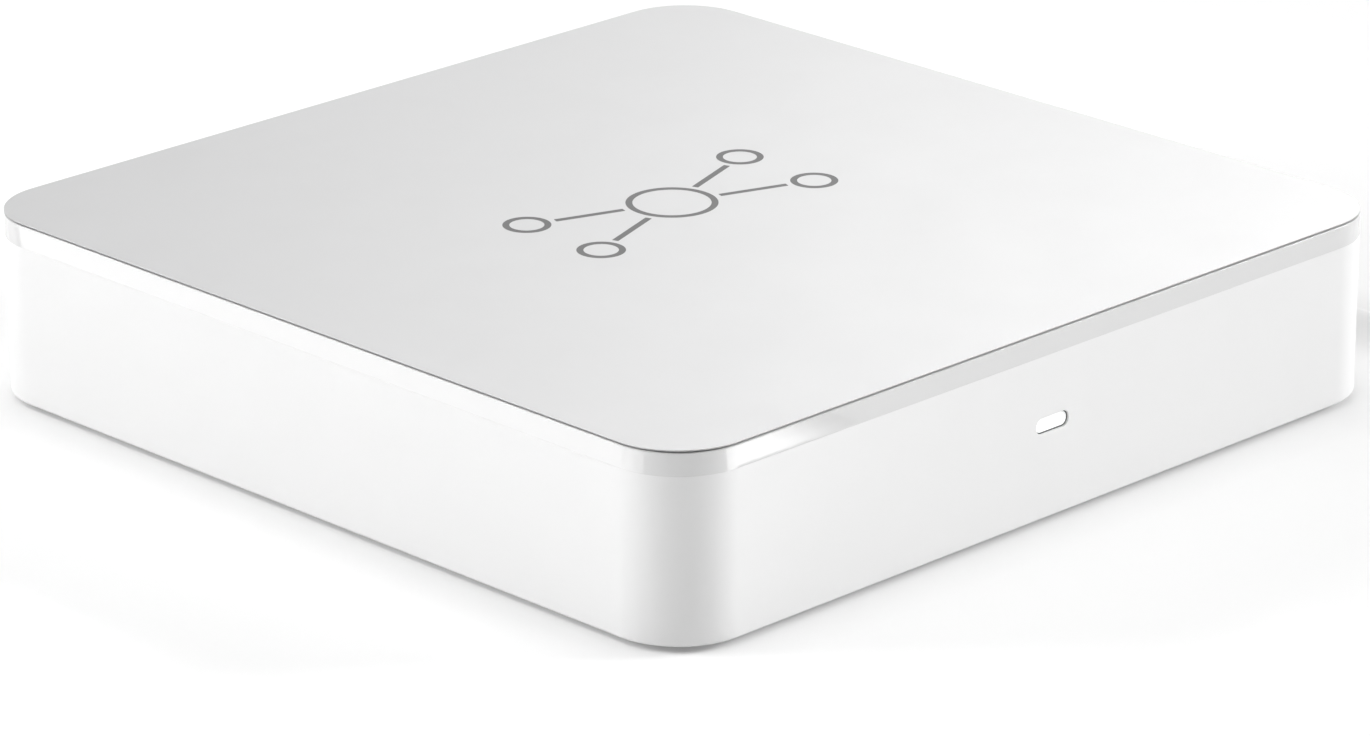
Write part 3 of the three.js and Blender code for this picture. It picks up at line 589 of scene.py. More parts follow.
def side_casing():
    """The satin wall, with its ledge, the light slot and the rear openings."""
    ledge_bottom = BASE.low.z + WALL + FIT
    ledge_top = ledge_bottom + LEDGE.height
    soft = 0.2
    profile = rounded([
        (0, CASING.low.z, CASING_EDGE), (0, CASING.high.z), (WALL, CASING.high.z),
        (WALL, ledge_top), (WALL + LEDGE.reach, ledge_top, soft),
        (WALL + LEDGE.reach, ledge_bottom, soft), (WALL, ledge_bottom),
        (WALL, CASING.low.z, soft),
    ], closed=True, steps=5)
    shape = housing_sweep(profile, closed=True)
    inside = -HALF + WALL
    rib_x, half, depth, reach = vars(GUIDE_RIB).values()
    rib = block((-half, inside - 0.2, LIGHT_Z - reach), (half, inside + depth, LIGHT_Z + reach))
    shape = joined(shape, at_sides(rib_x, rib))
    front, rear = inside + 0.5, -inside - 0.5
    slot_corner = SLOT.height / 2
    slot = opening(SLOT.width, SLOT.height, slot_corner, front, -HALF, SLOT.edge, upright=True)
    shape = cut(shape, slot.moved(z=LIGHT_Z))
    ports = []
    for node, corner in (("ethernet_shield", 0.7), ("usb_shell", 0.9)):
        port = Box(node)
        width, height = port.size.x + 3 * FIT, port.size.z + 3 * FIT
        hole = opening(width, height, corner, rear, HALF, PORT_EDGE, upright=True)
        ports.append(hole.facing(port))
    for node, radius in (("power_jack_pin", POWER.opening), ("reset_button", RESET_OPENING)):
        hole = round_opening(radius, rear, HALF, PORT_EDGE, upright=True)
        ports.append(hole.facing(Box(node)))
    add_fine("side_casing", cut(shape, *ports), "satin_white")


def light_pipe():
    """The pill-shaped window in the slot, its flange behind the wall and the bent leg down to the LED."""
    gap = GUIDE.gap
    width, height = SLOT.width - 2 * gap, SLOT.height - 2 * gap
    face, wall = -HALF + GUIDE.recess, -HALF + WALL
    head = slab(width, height, height / 2, face, wall + 0.5, 0.1, upright=True)
    flange_size = (GUIDE.flange_width, GUIDE.flange_height)
    flange = slab(*flange_size, 0.8, wall + SEAM, wall + 1, 0, 0.2, upright=True)
    arm_half = GUIDE.arm_height / 2
    rear = LIGHT.high.y
    front = rear - GUIDE.leg_depth
    side = rounded([
        (wall + 0.5, -arm_half), (front, -arm_half, 0.6), (front, LIGHT.low.z - LIGHT_Z),
        (rear, LIGHT.low.z - LIGHT_Z), (rear, arm_half - GUIDE.bevel),
        (rear - GUIDE.bevel, arm_half), (wall + 0.5, arm_half),
    ], closed=True)
    half = GUIDE.width / 2
    arm = prism(side, -half, half)
    arm = Shape([(p.z, p.x, p.y) for p in arm.points], arm.faces)
    shape = joined(joined(arm, flange), head)
    add_fine("light_pipe", shape.moved(z=LIGHT_Z), "light_guide")
    # A dark rubber ring fills the gap round the window. This is painted shade that stands in for the shadow
    # in the slot's recess.
    gasket = swept(
        SLOT.width, SLOT.height, SLOT.height / 2,
        [(SEAM, face), (SEAM, wall - SEAM), (gap - SEAM, wall - SEAM), (gap - SEAM, face)],
        closed=True, upright=True,
    )
    add_piece("light_slot_shade_gasket", gasket.moved(z=LIGHT_Z), "rubber_grey")


# ---------- Underside ----------

def at_holes(make):
    """One copy at each of the board's screw holes."""
    return total(make.moved(x, y) for x in (-BOARD_HOLE.x, BOARD_HOLE.x)
                 for y in (-BOARD_HOLE.y, BOARD_HOLE.y))


def pillar(radius, bottom, top):
    """A round pillar that spreads into the face below it."""
    foot = 0.8
    return turned(rounded([
        (radius + foot, bottom - 0.3), (radius + foot, bottom), (radius, bottom + foot, foot),
        (radius, top, 0.25), (radius / 2, top),
    ])[:-1])


def base_cover():
    """The hub's floor: vents, board posts, screw tubes, foot pockets, a label recess and two keyholes."""
    under, top = BASE.low.z, BASE.low.z + WALL
    edge = WALL + FIT
    shape = housing_sweep(rounded([
        (edge + 1, under), (edge, under, 0.35), (edge, top, 0.2), (edge + 1, top),
    ])[1:-1])
    keyhole_y = KEYHOLE.y - KEYHOLE.length / 2
    entry_width = 2 * KEYHOLE.entry
    pocket_length = KEYHOLE.length + entry_width
    wall = 2 * KEYHOLE.wall
    roof = top + KEYHOLE.depth
    housing = slab(entry_width + wall, pocket_length + wall, 1.2, top - 0.3, roof + KEYHOLE.roof, 0, 0.3)

    def at_keyholes(make, y=keyhole_y):
        return at_sides(KEYHOLE.x, make.moved(y=y))

    shape = joined(
        shape,
        at_holes(pillar(POST.radius, top, BOARD.low.z - SEAM)),
        at_corners(SCREW_SPACING, pillar(SCREW_TUBE.radius, top, top + SCREW_TUBE.height)),
        at_keyholes(housing),
    )
    bore = round_opening(SCREW_TUBE.bore, top + SCREW_TUBE.seat, under, 0.35)
    pocket = round_opening(FOOT.size.x / 2 + FIT, under + FOOT_POCKET_DEPTH, under, 0.12)
    vent = opening(VENTS.width, VENTS.length, VENTS.width / 2, top + 0.5, under, 0.3)
    first_vent = -(VENTS.columns - 1) / 2 * VENTS.pitch
    recess = opening(LABEL.size.x + 2 * FIT, LABEL.size.y + 2 * FIT, 2, under + 0.3, under, 0.1)
    shape = cut(
        shape,
        at_corners(SCREW_SPACING, bore),
        at_corners(FOOT_SPACING, pocket),
        at_holes(disc(POST.pilot, top, BOARD.low.z + 1)),
        *(vent.moved(first_vent + column * VENTS.pitch, VENTS.y) for column in range(VENTS.columns)),
        recess.over(LABEL),
    )
    clearance = disc(SCREW_TUBE.clearance, top, top + SCREW_TUBE.height + 1)
    entry = round_opening(KEYHOLE.entry, top + 0.5, under, 0.3)
    shape = cut(shape, at_corners(SCREW_SPACING, clearance), at_keyholes(entry, KEYHOLE.y))
    neck_length = KEYHOLE.length + KEYHOLE.neck
    neck = opening(KEYHOLE.neck, neck_length, KEYHOLE.neck / 2, top + 0.4, under, 0.3)
    shape = cut(shape, at_keyholes(neck))
    space = slab(entry_width, pocket_length, 0.6, top, roof)
    add_fine("base_cover", cut(shape, at_keyholes(space)), "satin_white")


def rating_label():
    add_fine("rating_label", filled(LABEL, 1.8, 0.04, 0.04, 8), "label_grey")


def feet():
    """Turned rubber feet with a round lower edge and a shallow groove in the sole."""
    radius, top = FOOT.size.x / 2, FOOT.high.z
    outer, inner, slope, depth = vars(SOLE_GROOVE).values()
    shape = turned(rounded([
        (1, top), (radius, top, 0.1), (radius, 0, 0.6), (outer, 0), (outer - slope, depth),
        (inner + slope, depth), (inner, 0), (1, 0),
    ]), steps=12)
    for corner in CORNERS:
        node = f"foot_{corner}"
        add_fine(node, shape.over(Box(node)), "rubber_grey")


def screw(head_radius, head_height, shank_radius, length):
    """A pan head screw that points up from z = 0, with a thread and a six-lobed recess from below."""
    pitch = shank_radius * 0.6
    core = shank_radius * 0.78
    turns = int((length - 1.6) / pitch)
    profile = [(core * 0.4, length), (core, length - 0.7)]
    for turn in range(turns):
        z = length - 0.9 - turn * pitch
        profile += [(core, z), (shank_radius, z - 0.35 * pitch), (shank_radius, z - 0.5 * pitch)]
    profile += rounded([
        (core, 0), (head_radius, 0, 0.12), (head_radius, -head_height, head_height * 0.45),
        (0.4, -head_height),
    ], steps=5)
    outline = []
    for angle in range(0, 360, 5):
        a = math.radians(angle)
        reach = head_radius * 0.5 * (0.86 + 0.14 * math.cos(6 * a))
        outline.append((reach * math.cos(a), reach * math.sin(a)))
    return cut(turned(profile, steps=6), prism(outline, -head_height - 1, -head_height * 0.4))


def screws():
    case_screw = screw(*CASE_SCREW)
    board_screw = screw(*BOARD_SCREW).flipped()
    for corner in CORNERS:
        for kind, shape, seat in (
            ("case_screw", case_screw, BASE.low.z + WALL + SCREW_TUBE.seat - SEAM),
            ("board_screw", board_screw, BOARD.high.z + SEAM),
        ):
            node = f"{kind}_{corner}"
            add_fine(node, shape.over(Box(node), seat), "zinc_steel")


# ---------- Sockets and button in the rear wall ----------

def sheet_shell(box, corner):
    """Folded sheet metal round a socket, open towards the rear."""
    open_edge = 0.12
    back, face = box.low.y, box.high.y
    profile = rounded([
        (corner + 1, back), (0, back, 0.3), (0, face, open_edge), (SHEET, face, open_edge),
        (SHEET, back + SHEET), (corner + 1, back + SHEET),
    ], steps=3)[1:-1]
    shape = swept(box.size.x, box.size.z, corner, profile, upright=True, steps=5)
    return shape.facing(box)


def ethernet_jack():
    shield, insert = Box("ethernet_shield"), Box("ethernet_insert")
    add_fine("ethernet_shield", sheet_shell(shield, 0.6), "tinned_metal")
    x, face, floor = insert.middle.x, insert.high.y, insert.low.z
    back = face - PLUG_SPACE.depth

    def hole(width, low, high, edge):
        made = opening(width, high - low, 0.25, back, face, edge, upright=True, steps=4)
        return made.moved(x, 0, floor + (low + high) / 2)

    body = filled_upright(insert, 0.3, 0.2, 0.2)
    plug_top = PLUG_SPACE.floor + PLUG_SPACE.height
    latch_floor = PLUG_SPACE.floor - LATCH_SPACE.height
    body = cut(body, hole(PLUG_SPACE.width, PLUG_SPACE.floor, plug_top, 0.35))
    body = cut(body, hole(LATCH_SPACE.width, latch_floor, PLUG_SPACE.floor + 1, 0.2))
    pockets = []
    for node in ("ethernet_link_light", "ethernet_activity_light"):
        light = Box(node)
        width, height = light.size.x + 2 * FIT, light.size.z + 2 * FIT
        pocket = opening(width, height, 0.3, light.low.y - FIT, face, 0.15, upright=True, steps=4)
        pockets.append(pocket.facing(light))
        look = "link_green" if "link" in node else "activity_amber"
        add_fine(node, filled_upright(light, 0.4, 0.1, 0.35, 8), look)
    notch_floor = latch_floor - LATCH_SPACE.notch_height
    notch = hole(LATCH_SPACE.notch_width, notch_floor, latch_floor + 1, 0.2)
    body = cut(cut(body, notch), *pockets)
    add_fine("ethernet_insert", body, "black_plastic")


def ethernet_contacts():
    """Sprung wires that come out of their bar, bend round and slope back and down over the plug's space."""
    box = Box("ethernet_contacts")
    front, length, height = box.high.y, CONTACT.bar_length, CONTACT.bar_height
    bar = slab(length, height, 0.15, front - 0.9, front - 0.1, 0.1, 0.1, upright=True, steps=3)
    bar_z = box.high.z - height / 2
    path = rounded([
        (front - 0.6, bar_z), (front + 0.05, bar_z, 0.2), (front - 0.2, bar_z - 0.4, 0.15),
        (box.low.y + 0.5, box.low.z + 0.1, 0.6),
        (box.low.y, box.low.z + 0.45),
    ], steps=5)
    wires = []
    for pin in range(CONTACT.count):
        x = box.middle.x + (pin - (CONTACT.count - 1) / 2) * CONTACT.pitch
        wires.append(tube([(x, p.x, p.y) for p in path], CONTACT.radius))
    add_fine("ethernet_contacts", total(wires), "gold")
    add_piece("ethernet_contact_bar", bar.moved(box.middle.x, 0, bar_z), "black_plastic")


def usb_socket():
    """A sheet-metal shell round a block whose tongue carries four contacts."""
    shell, insulator = Box("usb_shell"), Box("usb_insulator")
    add_fine("usb_shell", sheet_shell(shell, 0.8), "tinned_metal")
    back, x = insulator.low.y, insulator.middle.x
    front = back + USB_BLOCK_DEPTH
    rear = slab(insulator.size.x, insulator.size.z, 0.5, back, front, 0.2, 0.2, upright=True, steps=4)
    width, height, face = USB_TONGUE.width, USB_TONGUE.height, insulator.high.y
    tongue_z = insulator.high.z - USB_TONGUE.drop + height / 2
    tongue = slab(width, height, 0.3, front - 0.5, face, 0, 0.4, upright=True, steps=4)
    shape = joined(rear.facing(insulator), tongue.moved(x, 0, tongue_z))
    add_fine("usb_insulator", shape, "black_plastic")
    under = tongue_z - height / 2
    strip_length = USB_TONGUE.length - 2
    bottom = under - USB_CONTACT.thickness
    strip = slab(USB_CONTACT.width, strip_length, 0.3, bottom, under - SEAM, 0.05, steps=3)
    middle = front + USB_TONGUE.length / 2
    strips = total(strip.moved(x + offset, middle) for offset in USB_CONTACT.x)
    add_piece("usb_contacts", strips, "gold")


def power_jack():
    """A round DC power jack: a body with a nose in the wall's hole, a blind bore and a split centre pin."""
    body, pin = Box("power_jack_body"), Box("power_jack_pin")
    x, z, face = pin.middle.x, pin.middle.z, body.high.y
    shoulder = face - POWER.nose_length
    case = slab(body.size.x, body.size.z, 0.5, body.low.y, shoulder, 0.3, 0.3, upright=True, steps=4)
    nose = disc(POWER.nose, shoulder - 1, face, 0, 0.25, upright=True, steps=12)
    bore = round_opening(POWER.bore, face - POWER.bore_depth, face, 0.3, upright=True, steps=12)
    shape = joined(case.facing(body), nose.moved(x, 0, z))
    add_fine("power_jack_body", cut(shape, bore.moved(x, 0, z)), "black_plastic")
    core = disc(POWER.pin, pin.low.y, pin.high.y, 0, 0.5, upright=True)
    split = block((-0.15, pin.high.y - 4, -2), (0.15, pin.high.y + 1, 2))
    add_fine("power_jack_pin", cut(core, split).moved(x, 0, z), "tinned_metal")


def reset_button():
    """The cap, with a dished face outside, and its flange behind the wall."""
    box = Box("reset_button")
    radius = RESET_OPENING - 0.3
    flange_face = HALF - WALL - FIT
    flange_back = flange_face - BUTTON.flange
    profile = [(radius * share, HALF - BUTTON.dish * (1 - share ** 2)) for share in (0.1, 0.3, 0.5, 0.7)]
    profile += rounded([
        (radius * 0.8, HALF - BUTTON.dish / 3), (radius, HALF - BUTTON.dish / 3, 0.3),
        (radius, flange_face), (BUTTON.flange_radius, flange_face, 0.15),
        (BUTTON.flange_radius, flange_back, 0.15), (radius, flange_back),
        (radius, box.low.y, 0.2), (0.3, box.low.y),
    ])
    cap = turned(profile, upright=True, steps=10).facing(box)
    add_fine("reset_button", cap, "button_grey", body="reset_button")


# ---------- Circuit board and what is on it ----------

SMALL_PART = Sizes(length=1.6, width=0.8, height=0.55, end=0.35)
# Rows of small chip parts: first x, first y, how many, step in x, step in y, and how far each part is turned.
SMALL_PART_ROWS = [
    (-20.5, -7, 7, 0, 3.6, 0), (26, -10, 8, 0, 3.8, 0), (-11, -30, 6, 3.2, 0, 90), (-23, 28, 7, 3, 0, 90),
    (29, 47, 6, 3, 0, 90), (-29, -43, 6, 0, 3.4, 0), (28.5, -38, 6, 0, 3.4, 0), (-29, -9, 6, 0, 3.4, 0),
    (5, -61, 4, 2.6, 0, 90), (6, 24, 6, 3.2, 0, 90), (30, 8, 4, 3.4, 0, 90), (8, 46, 4, 3.2, 0, 90),
]
TEST_PADS = [(x, -52) for x in range(-30, 31, 6)] + [(52, y) for y in range(-12, 13, 6)]
TEST_PAD_RADIUS = 0.6
# Name, pins on a side, their pitch and how far the rows are turned.
CHIPS = [
    ("memory_chip_1", 0, 0, 0), ("memory_chip_2", 0, 0, 0), ("flash_chip", 22, 0.5, 90),
    ("network_transformer", 8, 1.27, 0), ("processor", 0, 0, 0), ("power_inductor", 0, 0, 0),
]
CARRIER = Sizes(height=0.4, margin=1.6)
FINS = Sizes(count=8, thickness=1, base=1.6)
CAN = Sizes(radius=3.1, foot=0.7, groove=2.2, clip=1.2)
MODULE_PADS = Sizes(count=11, pitch=1.27)
COIL = Sizes(wire=0.4, turns=9, pitch=2.6, steps=24)
TRACE = Sizes(turns=8, pitch=4.4, reach=2.6)


def main_board():
    hole = disc(BOARD_HOLE.radius, BOARD.low.z - 1, BOARD.high.z + 1)
    board = cut(filled(BOARD, 3, 0.1, 0.1, 8), at_holes(hole))
    add_fine("main_board", board, "circuit_board")
    face = BOARD.high.z
    ring = ring_line(BOARD_HOLE.ring, BOARD_HOLE.ring_width, face - 0.02, face + 0.01)
    pad = disc(TEST_PAD_RADIUS, face - 0.02, face + 0.02, steps=4)
    pads = total(pad.moved(x, y) for x, y in TEST_PADS)
    add_piece("board_pads", at_holes(ring) + pads, "gold")
    part = SMALL_PART
    bodies, ends = Shape([], []), Shape([], [])
    between, top = part.length - part.end, face + part.height
    body = slab(between, part.width * 0.96, 0.05, face + 0.04, top, 0, 0.06, steps=1)
    end = slab(part.end, part.width, 0.08, face + SEAM, top + 0.02, 0, 0.06, steps=1)
    both_ends = at_sides(between / 2, end)
    for first_x, first_y, count, step_x, step_y, turn in SMALL_PART_ROWS:
        for index in range(count):
            x, y = first_x + index * step_x, first_y + index * step_y
            bodies += body.moved(x, y, 0, turn)
            ends += both_ends.moved(x, y, 0, turn)
    add_piece("small_part_bodies", bodies, "led_ceramic")
    add_piece("small_part_ends", ends, "tinned_metal")


def leads(box, count, pitch, turn):
    """Two rows of bent leads, from both sides of a package down to the board."""
    reach = 0.9
    half = (box.size.x if turn == 0 else box.size.y) / 2
    middle = box.low.z + box.size.z * 0.45
    path = rounded([
        (half - 0.3, middle), (half + reach * 0.35, middle, 0.12),
        (half + reach * 0.5, BOARD.high.z + 0.12, 0.12), (half + reach, BOARD.high.z + 0.12),
    ], steps=3)
    made = []
    for side in (-1, 1):
        for pin in range(count):
            along = (pin - (count - 1) / 2) * pitch
            wire = tube([(side * p.x, along, p.y) for p in path], min(0.16, pitch * 0.22), sides=4)
            made.append(wire.moved(box.middle.x, box.middle.y, 0, turn))
    return total(made)


def chips():
    """Moulded packages, each with a dot at its first pin, and their leads or carrier."""
    for node, pins, pitch, turn in CHIPS:
        box = Box(node)
        wide, deep, top = box.size.x, box.size.y, box.high.z
        shape = filled(box, 0.25, 0, 0.12)
        if node == "processor":
            carrier_top = box.low.z + CARRIER.height
            carrier = slab(wide, deep, 0.2, box.low.z, carrier_top, 0, 0.03, steps=3)
            add_piece("processor_carrier", carrier.over(box), "circuit_board")
            margin = CARRIER.margin
            cap = slab(wide - margin, deep - margin, 0.4, carrier_top + SEAM, top, 0, 0.15, steps=4)
            shape = cap.over(box)
        if node == "power_inductor":
            ring = ring_line(2.4, 0.25, top - 0.2, top + 1)
            shape = cut(filled(box, 1.2, 0.2, 0.5), ring.over(box))
            face = BOARD.high.z
            terminal = slab(1.6, deep * 0.45, 0.2, face + SEAM, face + 0.3, 0, 0.1, steps=2)
            both = at_sides(wide / 2, terminal)
            add_piece("power_inductor_terminals", both.over(box), "tinned_metal")
        else:
            dot = disc(0.45, top - 0.06, top + 1, steps=4)
            inset = 1.8 if node == "processor" else 1.3
            shape = cut(shape, dot.moved(box.low.x + inset, box.high.y - inset))
        if pins:
            add_piece(f"{node}_leads", leads(box, pins, pitch, turn), "tinned_metal")
        add_fine(node, shape, "chip_plastic")


def cooling():
    """The thermal pad on the processor and the finned heat sink on it."""
    add_fine("thermal_pad", filled(Box("thermal_pad"), 0.8, 0.05, 0.05), "thermal_pad")
    box = Box("heat_sink")
    thickness, floor = FINS.thickness, box.low.z + FINS.base
    pitch = (box.size.x - thickness) / (FINS.count - 1)
    outline = [(box.low.x, box.low.z, 0.15), (box.high.x, box.low.z, 0.15)]
    for fin in reversed(range(FINS.count)):
        left = box.low.x + fin * pitch
        outline += [(left + thickness, box.high.z, 0.35), (left, box.high.z, 0.35)]
        if fin:
            outline += [(left, floor, 0.5), (left - pitch + thickness, floor, 0.5)]
    comb = prism(rounded(outline, steps=3, closed=True), -box.high.y, -box.low.y)
    comb = Shape([(p.x, -p.z, p.y) for p in comb.points], comb.faces)
    add_fine("heat_sink", comb, "aluminium")


def capacitors():
    """Grooved cans on black feet with two cut corners."""
    for number in (1, 2):
        box = Box(f"capacitor_{number}")
        radius, groove = CAN.radius, box.low.z + CAN.groove
        bottom = box.low.z + CAN.foot
        can = turned(rounded([
            (1.6, bottom), (radius, bottom, 0.2), (radius, groove - 0.35, 0.2),
            (radius - 0.3, groove, 0.25), (radius, groove + 0.35, 0.2), (radius, box.high.z, 0.35),
            (radius - 0.7, box.high.z, 0.1), (radius - 0.8, box.high.z - 0.08),
            (1, box.high.z - 0.08),
        ]), steps=9)
        score = block((-1.9, -0.06, box.high.z - 0.2), (1.9, 0.06, box.high.z + 1))
        for turn in (0, 60, 120):
            can = cut(can, score.moved(about_z=turn))
        add_fine(f"capacitor_{number}", can.over(box), "aluminium")
        half, clipped = box.size.x / 2, box.size.x / 2 - CAN.clip
        outline = rounded([(-half, -half, 0.2), (half, -half, 0.2), (half, clipped), (clipped, half),
                           (-clipped, half), (-half, clipped)], closed=True, steps=3)
        foot = prism(outline, box.low.z, bottom - SEAM)
        add_piece(f"capacitor_{number}_foot", foot.over(box), "black_plastic")


def small_devices():
    """The crystal in its soldered can, and the status LED with its lens."""
    crystal, led = Box("crystal"), Box("status_led")
    wide, deep, bottom = crystal.size.x, crystal.size.y, crystal.low.z
    lid = slab(wide - 0.5, deep - 0.5, 0.3, bottom + 0.35, crystal.high.z, 0, 0.08, steps=3)
    flange = slab(wide, deep, 0.35, bottom, bottom + 0.4, 0, 0.05, steps=3)
    add_fine("crystal", joined(flange, lid).over(crystal), "tinned_metal")
    well = round_opening(1.1, led.high.z - 0.4, led.high.z, 0.15)
    add_fine("status_led", cut(filled(led, 0.2, 0, 0.08), well.over(led)), "led_ceramic")
    lens = disc(1.05, led.high.z - 0.39, led.high.z - 0.05, 0, 0.1)
    add_piece("status_led_lens", lens.over(led), "light_guide")


def radio_modules():
    """Each module's board with pads down both sides, and its shielding can with small vent holes."""
    for name in ("wireless_module", "mesh_radio", "long_range_radio"):
        board, can = Box(f"{name}_board"), Box(f"{name}_can")
        add_fine(f"{name}_board", filled(board, 0.3, 0, 0.05), "circuit_board")
        pad = slab(1, 0.7, 0.15, board.low.z - 0.02, board.high.z + 0.02, steps=2)
        pads = [pad.moved(x, board.low.y + 1.5 + MODULE_PADS.pitch * row)
                for x in (board.low.x + 0.42, board.high.x - 0.42) for row in range(MODULE_PADS.count)]
        add_piece(f"{name}_pads", total(pads), "gold")
        lid = filled(can, 0.6, 0, 0.25)
        vent = disc(0.35, can.high.z - 0.15, can.high.z + 1, steps=3)
        vents = total(vent.moved(can.middle.x + x, can.middle.y + y) for x in (-2, 0, 2) for y in (-2, 0, 2))
        add_fine(f"{name}_can", cut(lid, vents), "tinned_metal")


def smooth_path(points, steps):
    """A Catmull-Rom line through points."""
    points = [Vector(p) for p in points]
    padded = [2 * points[0] - points[1], *points, 2 * points[-1] - points[-2]]
    line = []
    for a, b, c, d in zip(padded, padded[1:], padded[2:], padded[3:]):
        for step in range(steps):
            t = step / steps
            line.append(0.5 * (2 * b + (c - a) * t + (2 * a - 5 * b + 4 * c - d) * t ** 2
                               + (3 * b - a - 3 * c + d) * t ** 3))
    return [*line, points[-1]]


def antennas():
    """A stamped strip on two legs, a copper coil, and a strip on the wall with its cable to its module."""
    strip = Box("mesh_antenna")
    x, top = strip.middle.x, strip.high.z
    plate = slab(strip.size.x, strip.size.y, 0.3, top - 0.4, top, 0.08, 0.08, steps=3).over(strip)
    bottom = BOARD.high.z + SEAM
    leg = slab(strip.size.x, 1, 0.2, bottom, top - 0.2, 0, 0, steps=2)
    legs = leg.moved(x, strip.low.y + 0.5) + leg.moved(x, strip.middle.y - 5)
    add_fine("mesh_antenna", joined(plate, legs), "gold")
    coil = Box("long_range_antenna")
    wire, pitch, steps = COIL.wire, COIL.pitch, COIL.steps
    radius = coil.size.x / 2 - wire
    axis_z = coil.high.z - radius - wire
    start = (coil.middle.x + radius, coil.low.y + wire, BOARD.high.z + SEAM)
    helix = []
    for step in range(COIL.turns * steps + 1):
        a = 2 * math.pi * step / steps
        y = start[1] + 0.3 + pitch * a / (2 * math.pi)
        helix.append((coil.middle.x + radius * math.cos(a), y, axis_z + radius * math.sin(a)))
    leg_path = [start, (start[0], start[1], axis_z - 0.6)]
    add_fine("long_range_antenna", tube(leg_path + helix, wire), "copper")
    wall = Box("wireless_antenna")
    half = wall.size.x / 2
    board = slab(wall.size.y, wall.size.z, 0.8, -half, half, 0.05, 0.05, upright=True, steps=4)
    board = board.moved(about_z=90).over(wall, wall.middle.z)
    add_fine("wireless_antenna", board, "circuit_board")
    corners = []
    for turn in range(TRACE.turns):
        y = wall.low.y + 5 + turn * TRACE.pitch
        reach = TRACE.reach if turn % 2 else -TRACE.reach
        corners += [(y, wall.middle.z + reach, 0.8), (y, wall.middle.z - reach, 0.8)]
    trace = [(wall.low.x, p.x, p.y) for p in rounded(corners)]
    add_piece("wireless_antenna_trace", tube(trace, 0.3, sides=8), "copper")
    face, z, deck = wall.middle.x, wall.middle.z, BOARD.high.z
    route = [
        (face - 0.9, -30, z + 4), (face - 1.6, -36, z + 3.4), (face - 4, -41, z + 1.5), (face - 10, -44.5, z),
        (55, -45.5, z - 0.4), (48, -44.5, z), (42, -42.5, deck + 2.4), (40.5, -39.4, deck + 1.6),
    ]
    add_fine("antenna_cable", tube(smooth_path(route, 8), 0.55, sides=12), "cable_black")


def switch():
    """The tactile switch behind the reset button, whose plunger moves in a well."""
    body, plunger = Box("switch_body"), Box("switch_plunger")
    case = filled_upright(body, 0.3, 0.1, 0.15)
    well = round_opening(1.8, plunger.low.y - 0.7, body.high.y, 0.12, upright=True)
    case = cut(case, well.moved(body.middle.x, 0, plunger.middle.z))
    add_fine("switch_body", case, "black_plastic")
    rod = disc(plunger.size.x / 2, plunger.low.y, plunger.high.y, 0.1, 0.25, upright=True)
    add_fine("switch_plunger", rod.facing(plunger), "black_plastic", body="switch_plunger")


top_plate()
plate_adhesive()
top_mark()
top_cover()
side_casing()
light_pipe()
base_cover()
rating_label()
feet()
screws()
ethernet_jack()
ethernet_contacts()
usb_socket()
power_jack()
reset_button()
switch()
main_board()
chips()
cooling()
capacitors()
small_devices()
radio_modules()
antennas()


# ---------- Floor, light and camera ----------

CAMERA = Sizes(azimuth=-44.7107, elevation=20.4236, roll=-0.0973, distance=922, lens=167.39)
CAMERA_TARGET = Vector((0, -0.6, 3.9))
# The floor's white in the open, the grey of the shadow painted into it near the hub, and how far from the hub
# that painted shadow reaches.
FLOOR = Sizes(size=6000, white=0.9, white_near_hub=0.73, near=11, drift=0.001, glow=0.11)
# How strongly the world lights the scene, and how bright the camera sees it.
SURROUND = Sizes(light=0.03, seen=1.05)
HUB_MIDDLE = (0, 0, 10)
HUB_TOP = (0, 0, TOP)
# Name, azimuth, elevation, distance, width, height, watts, target, and whether only reflections see it.
SOFTBOXES = [
    ("left_light", -138, 20, 2600, 1000, 800, 36.4, HUB_MIDDLE, False),
    ("right_light", 58, 20, 2600, 1000, 800, 55, HUB_MIDDLE, False),
    ("overhead_left", 0, 90, 500, 200, 1400, 3.15, (-355, 352, 0), False),
    ("overhead_right", 0, 90, 500, 200, 1400, 0.5, (391, -387, 0), False),
    ("overhead_middle", 0, 90, 500, 200, 1400, 1.35, (71, -70, 0), False),
    ("back_light_1", 115.3, 27, 900, 250, 300, 1.6, HUB_TOP, True),
    ("back_light_2", 125.3, 27, 900, 250, 300, 0.8, HUB_TOP, True),
    ("back_light_3", 135.3, 27, 900, 250, 300, 0.52, HUB_TOP, True),
]
# White cards just over the table, which only reflections see: name, two corners, strength, and the width over
# which each fades out at its right-hand edge.
CARDS = [
    ("left_card", (-130, -24), (-115.5, 160), 3.85, 0),
    ("bend_card", (-150, -60), (-115.5, -24), 4.3, 0),
    ("corner_card_left", (-150, -150), (-105, -60), 2.2, 0),
    ("corner_card_front", (-105, -150), (-34, -105), 2.15, 0),
    ("front_card", (-34, -142), (9, -117), 6.1, 17),
]
CARD_HEIGHT = 0.4
# A grey net beside the hub, which takes some of the right light off the right-hand wall.
SCRIM = Sizes(x=97, y=(-67, 75), z=(0.5, 37), passes=0.66)


def direction(azimuth, elevation):
    """The way from the hub towards something. Azimuth 0 is the front and 90 the right-hand side."""
    a, e = math.radians(azimuth), math.radians(elevation)
    return Vector((math.sin(a) * math.cos(e), -math.cos(a) * math.cos(e), math.sin(e)))


def add_floor():
    """A white table, with a soft shadow painted into its colour near the hub."""
    floor = new_object("floor", slab(FLOOR.size, FLOOR.size, 1, -1, 0).mesh("floor"))
    graph = Graph("floor_white", grey(FLOOR.white), 0.9)
    near = add_node(graph.nodes, "AmbientOcclusion", {"Distance": FLOOR.near * MM})
    drift = [grey(FLOOR.white + side * FLOOR.drift) for side in (-1, 1)]
    open_floor = graph.blend(graph.spread(graph.noise(40), 0, 1), *drift)
    # Painted shadow: where the hub is near, the ambient occlusion node darkens the floor's colour to a grey.
    graph.feed("Base Color", graph.blend(near.outputs["AO"], grey(FLOOR.white_near_hub), open_floor))
    graph.set("Specular IOR Level", 0.1)
    graph.glow(FLOOR.glow)
    floor.data.materials.append(graph.material)


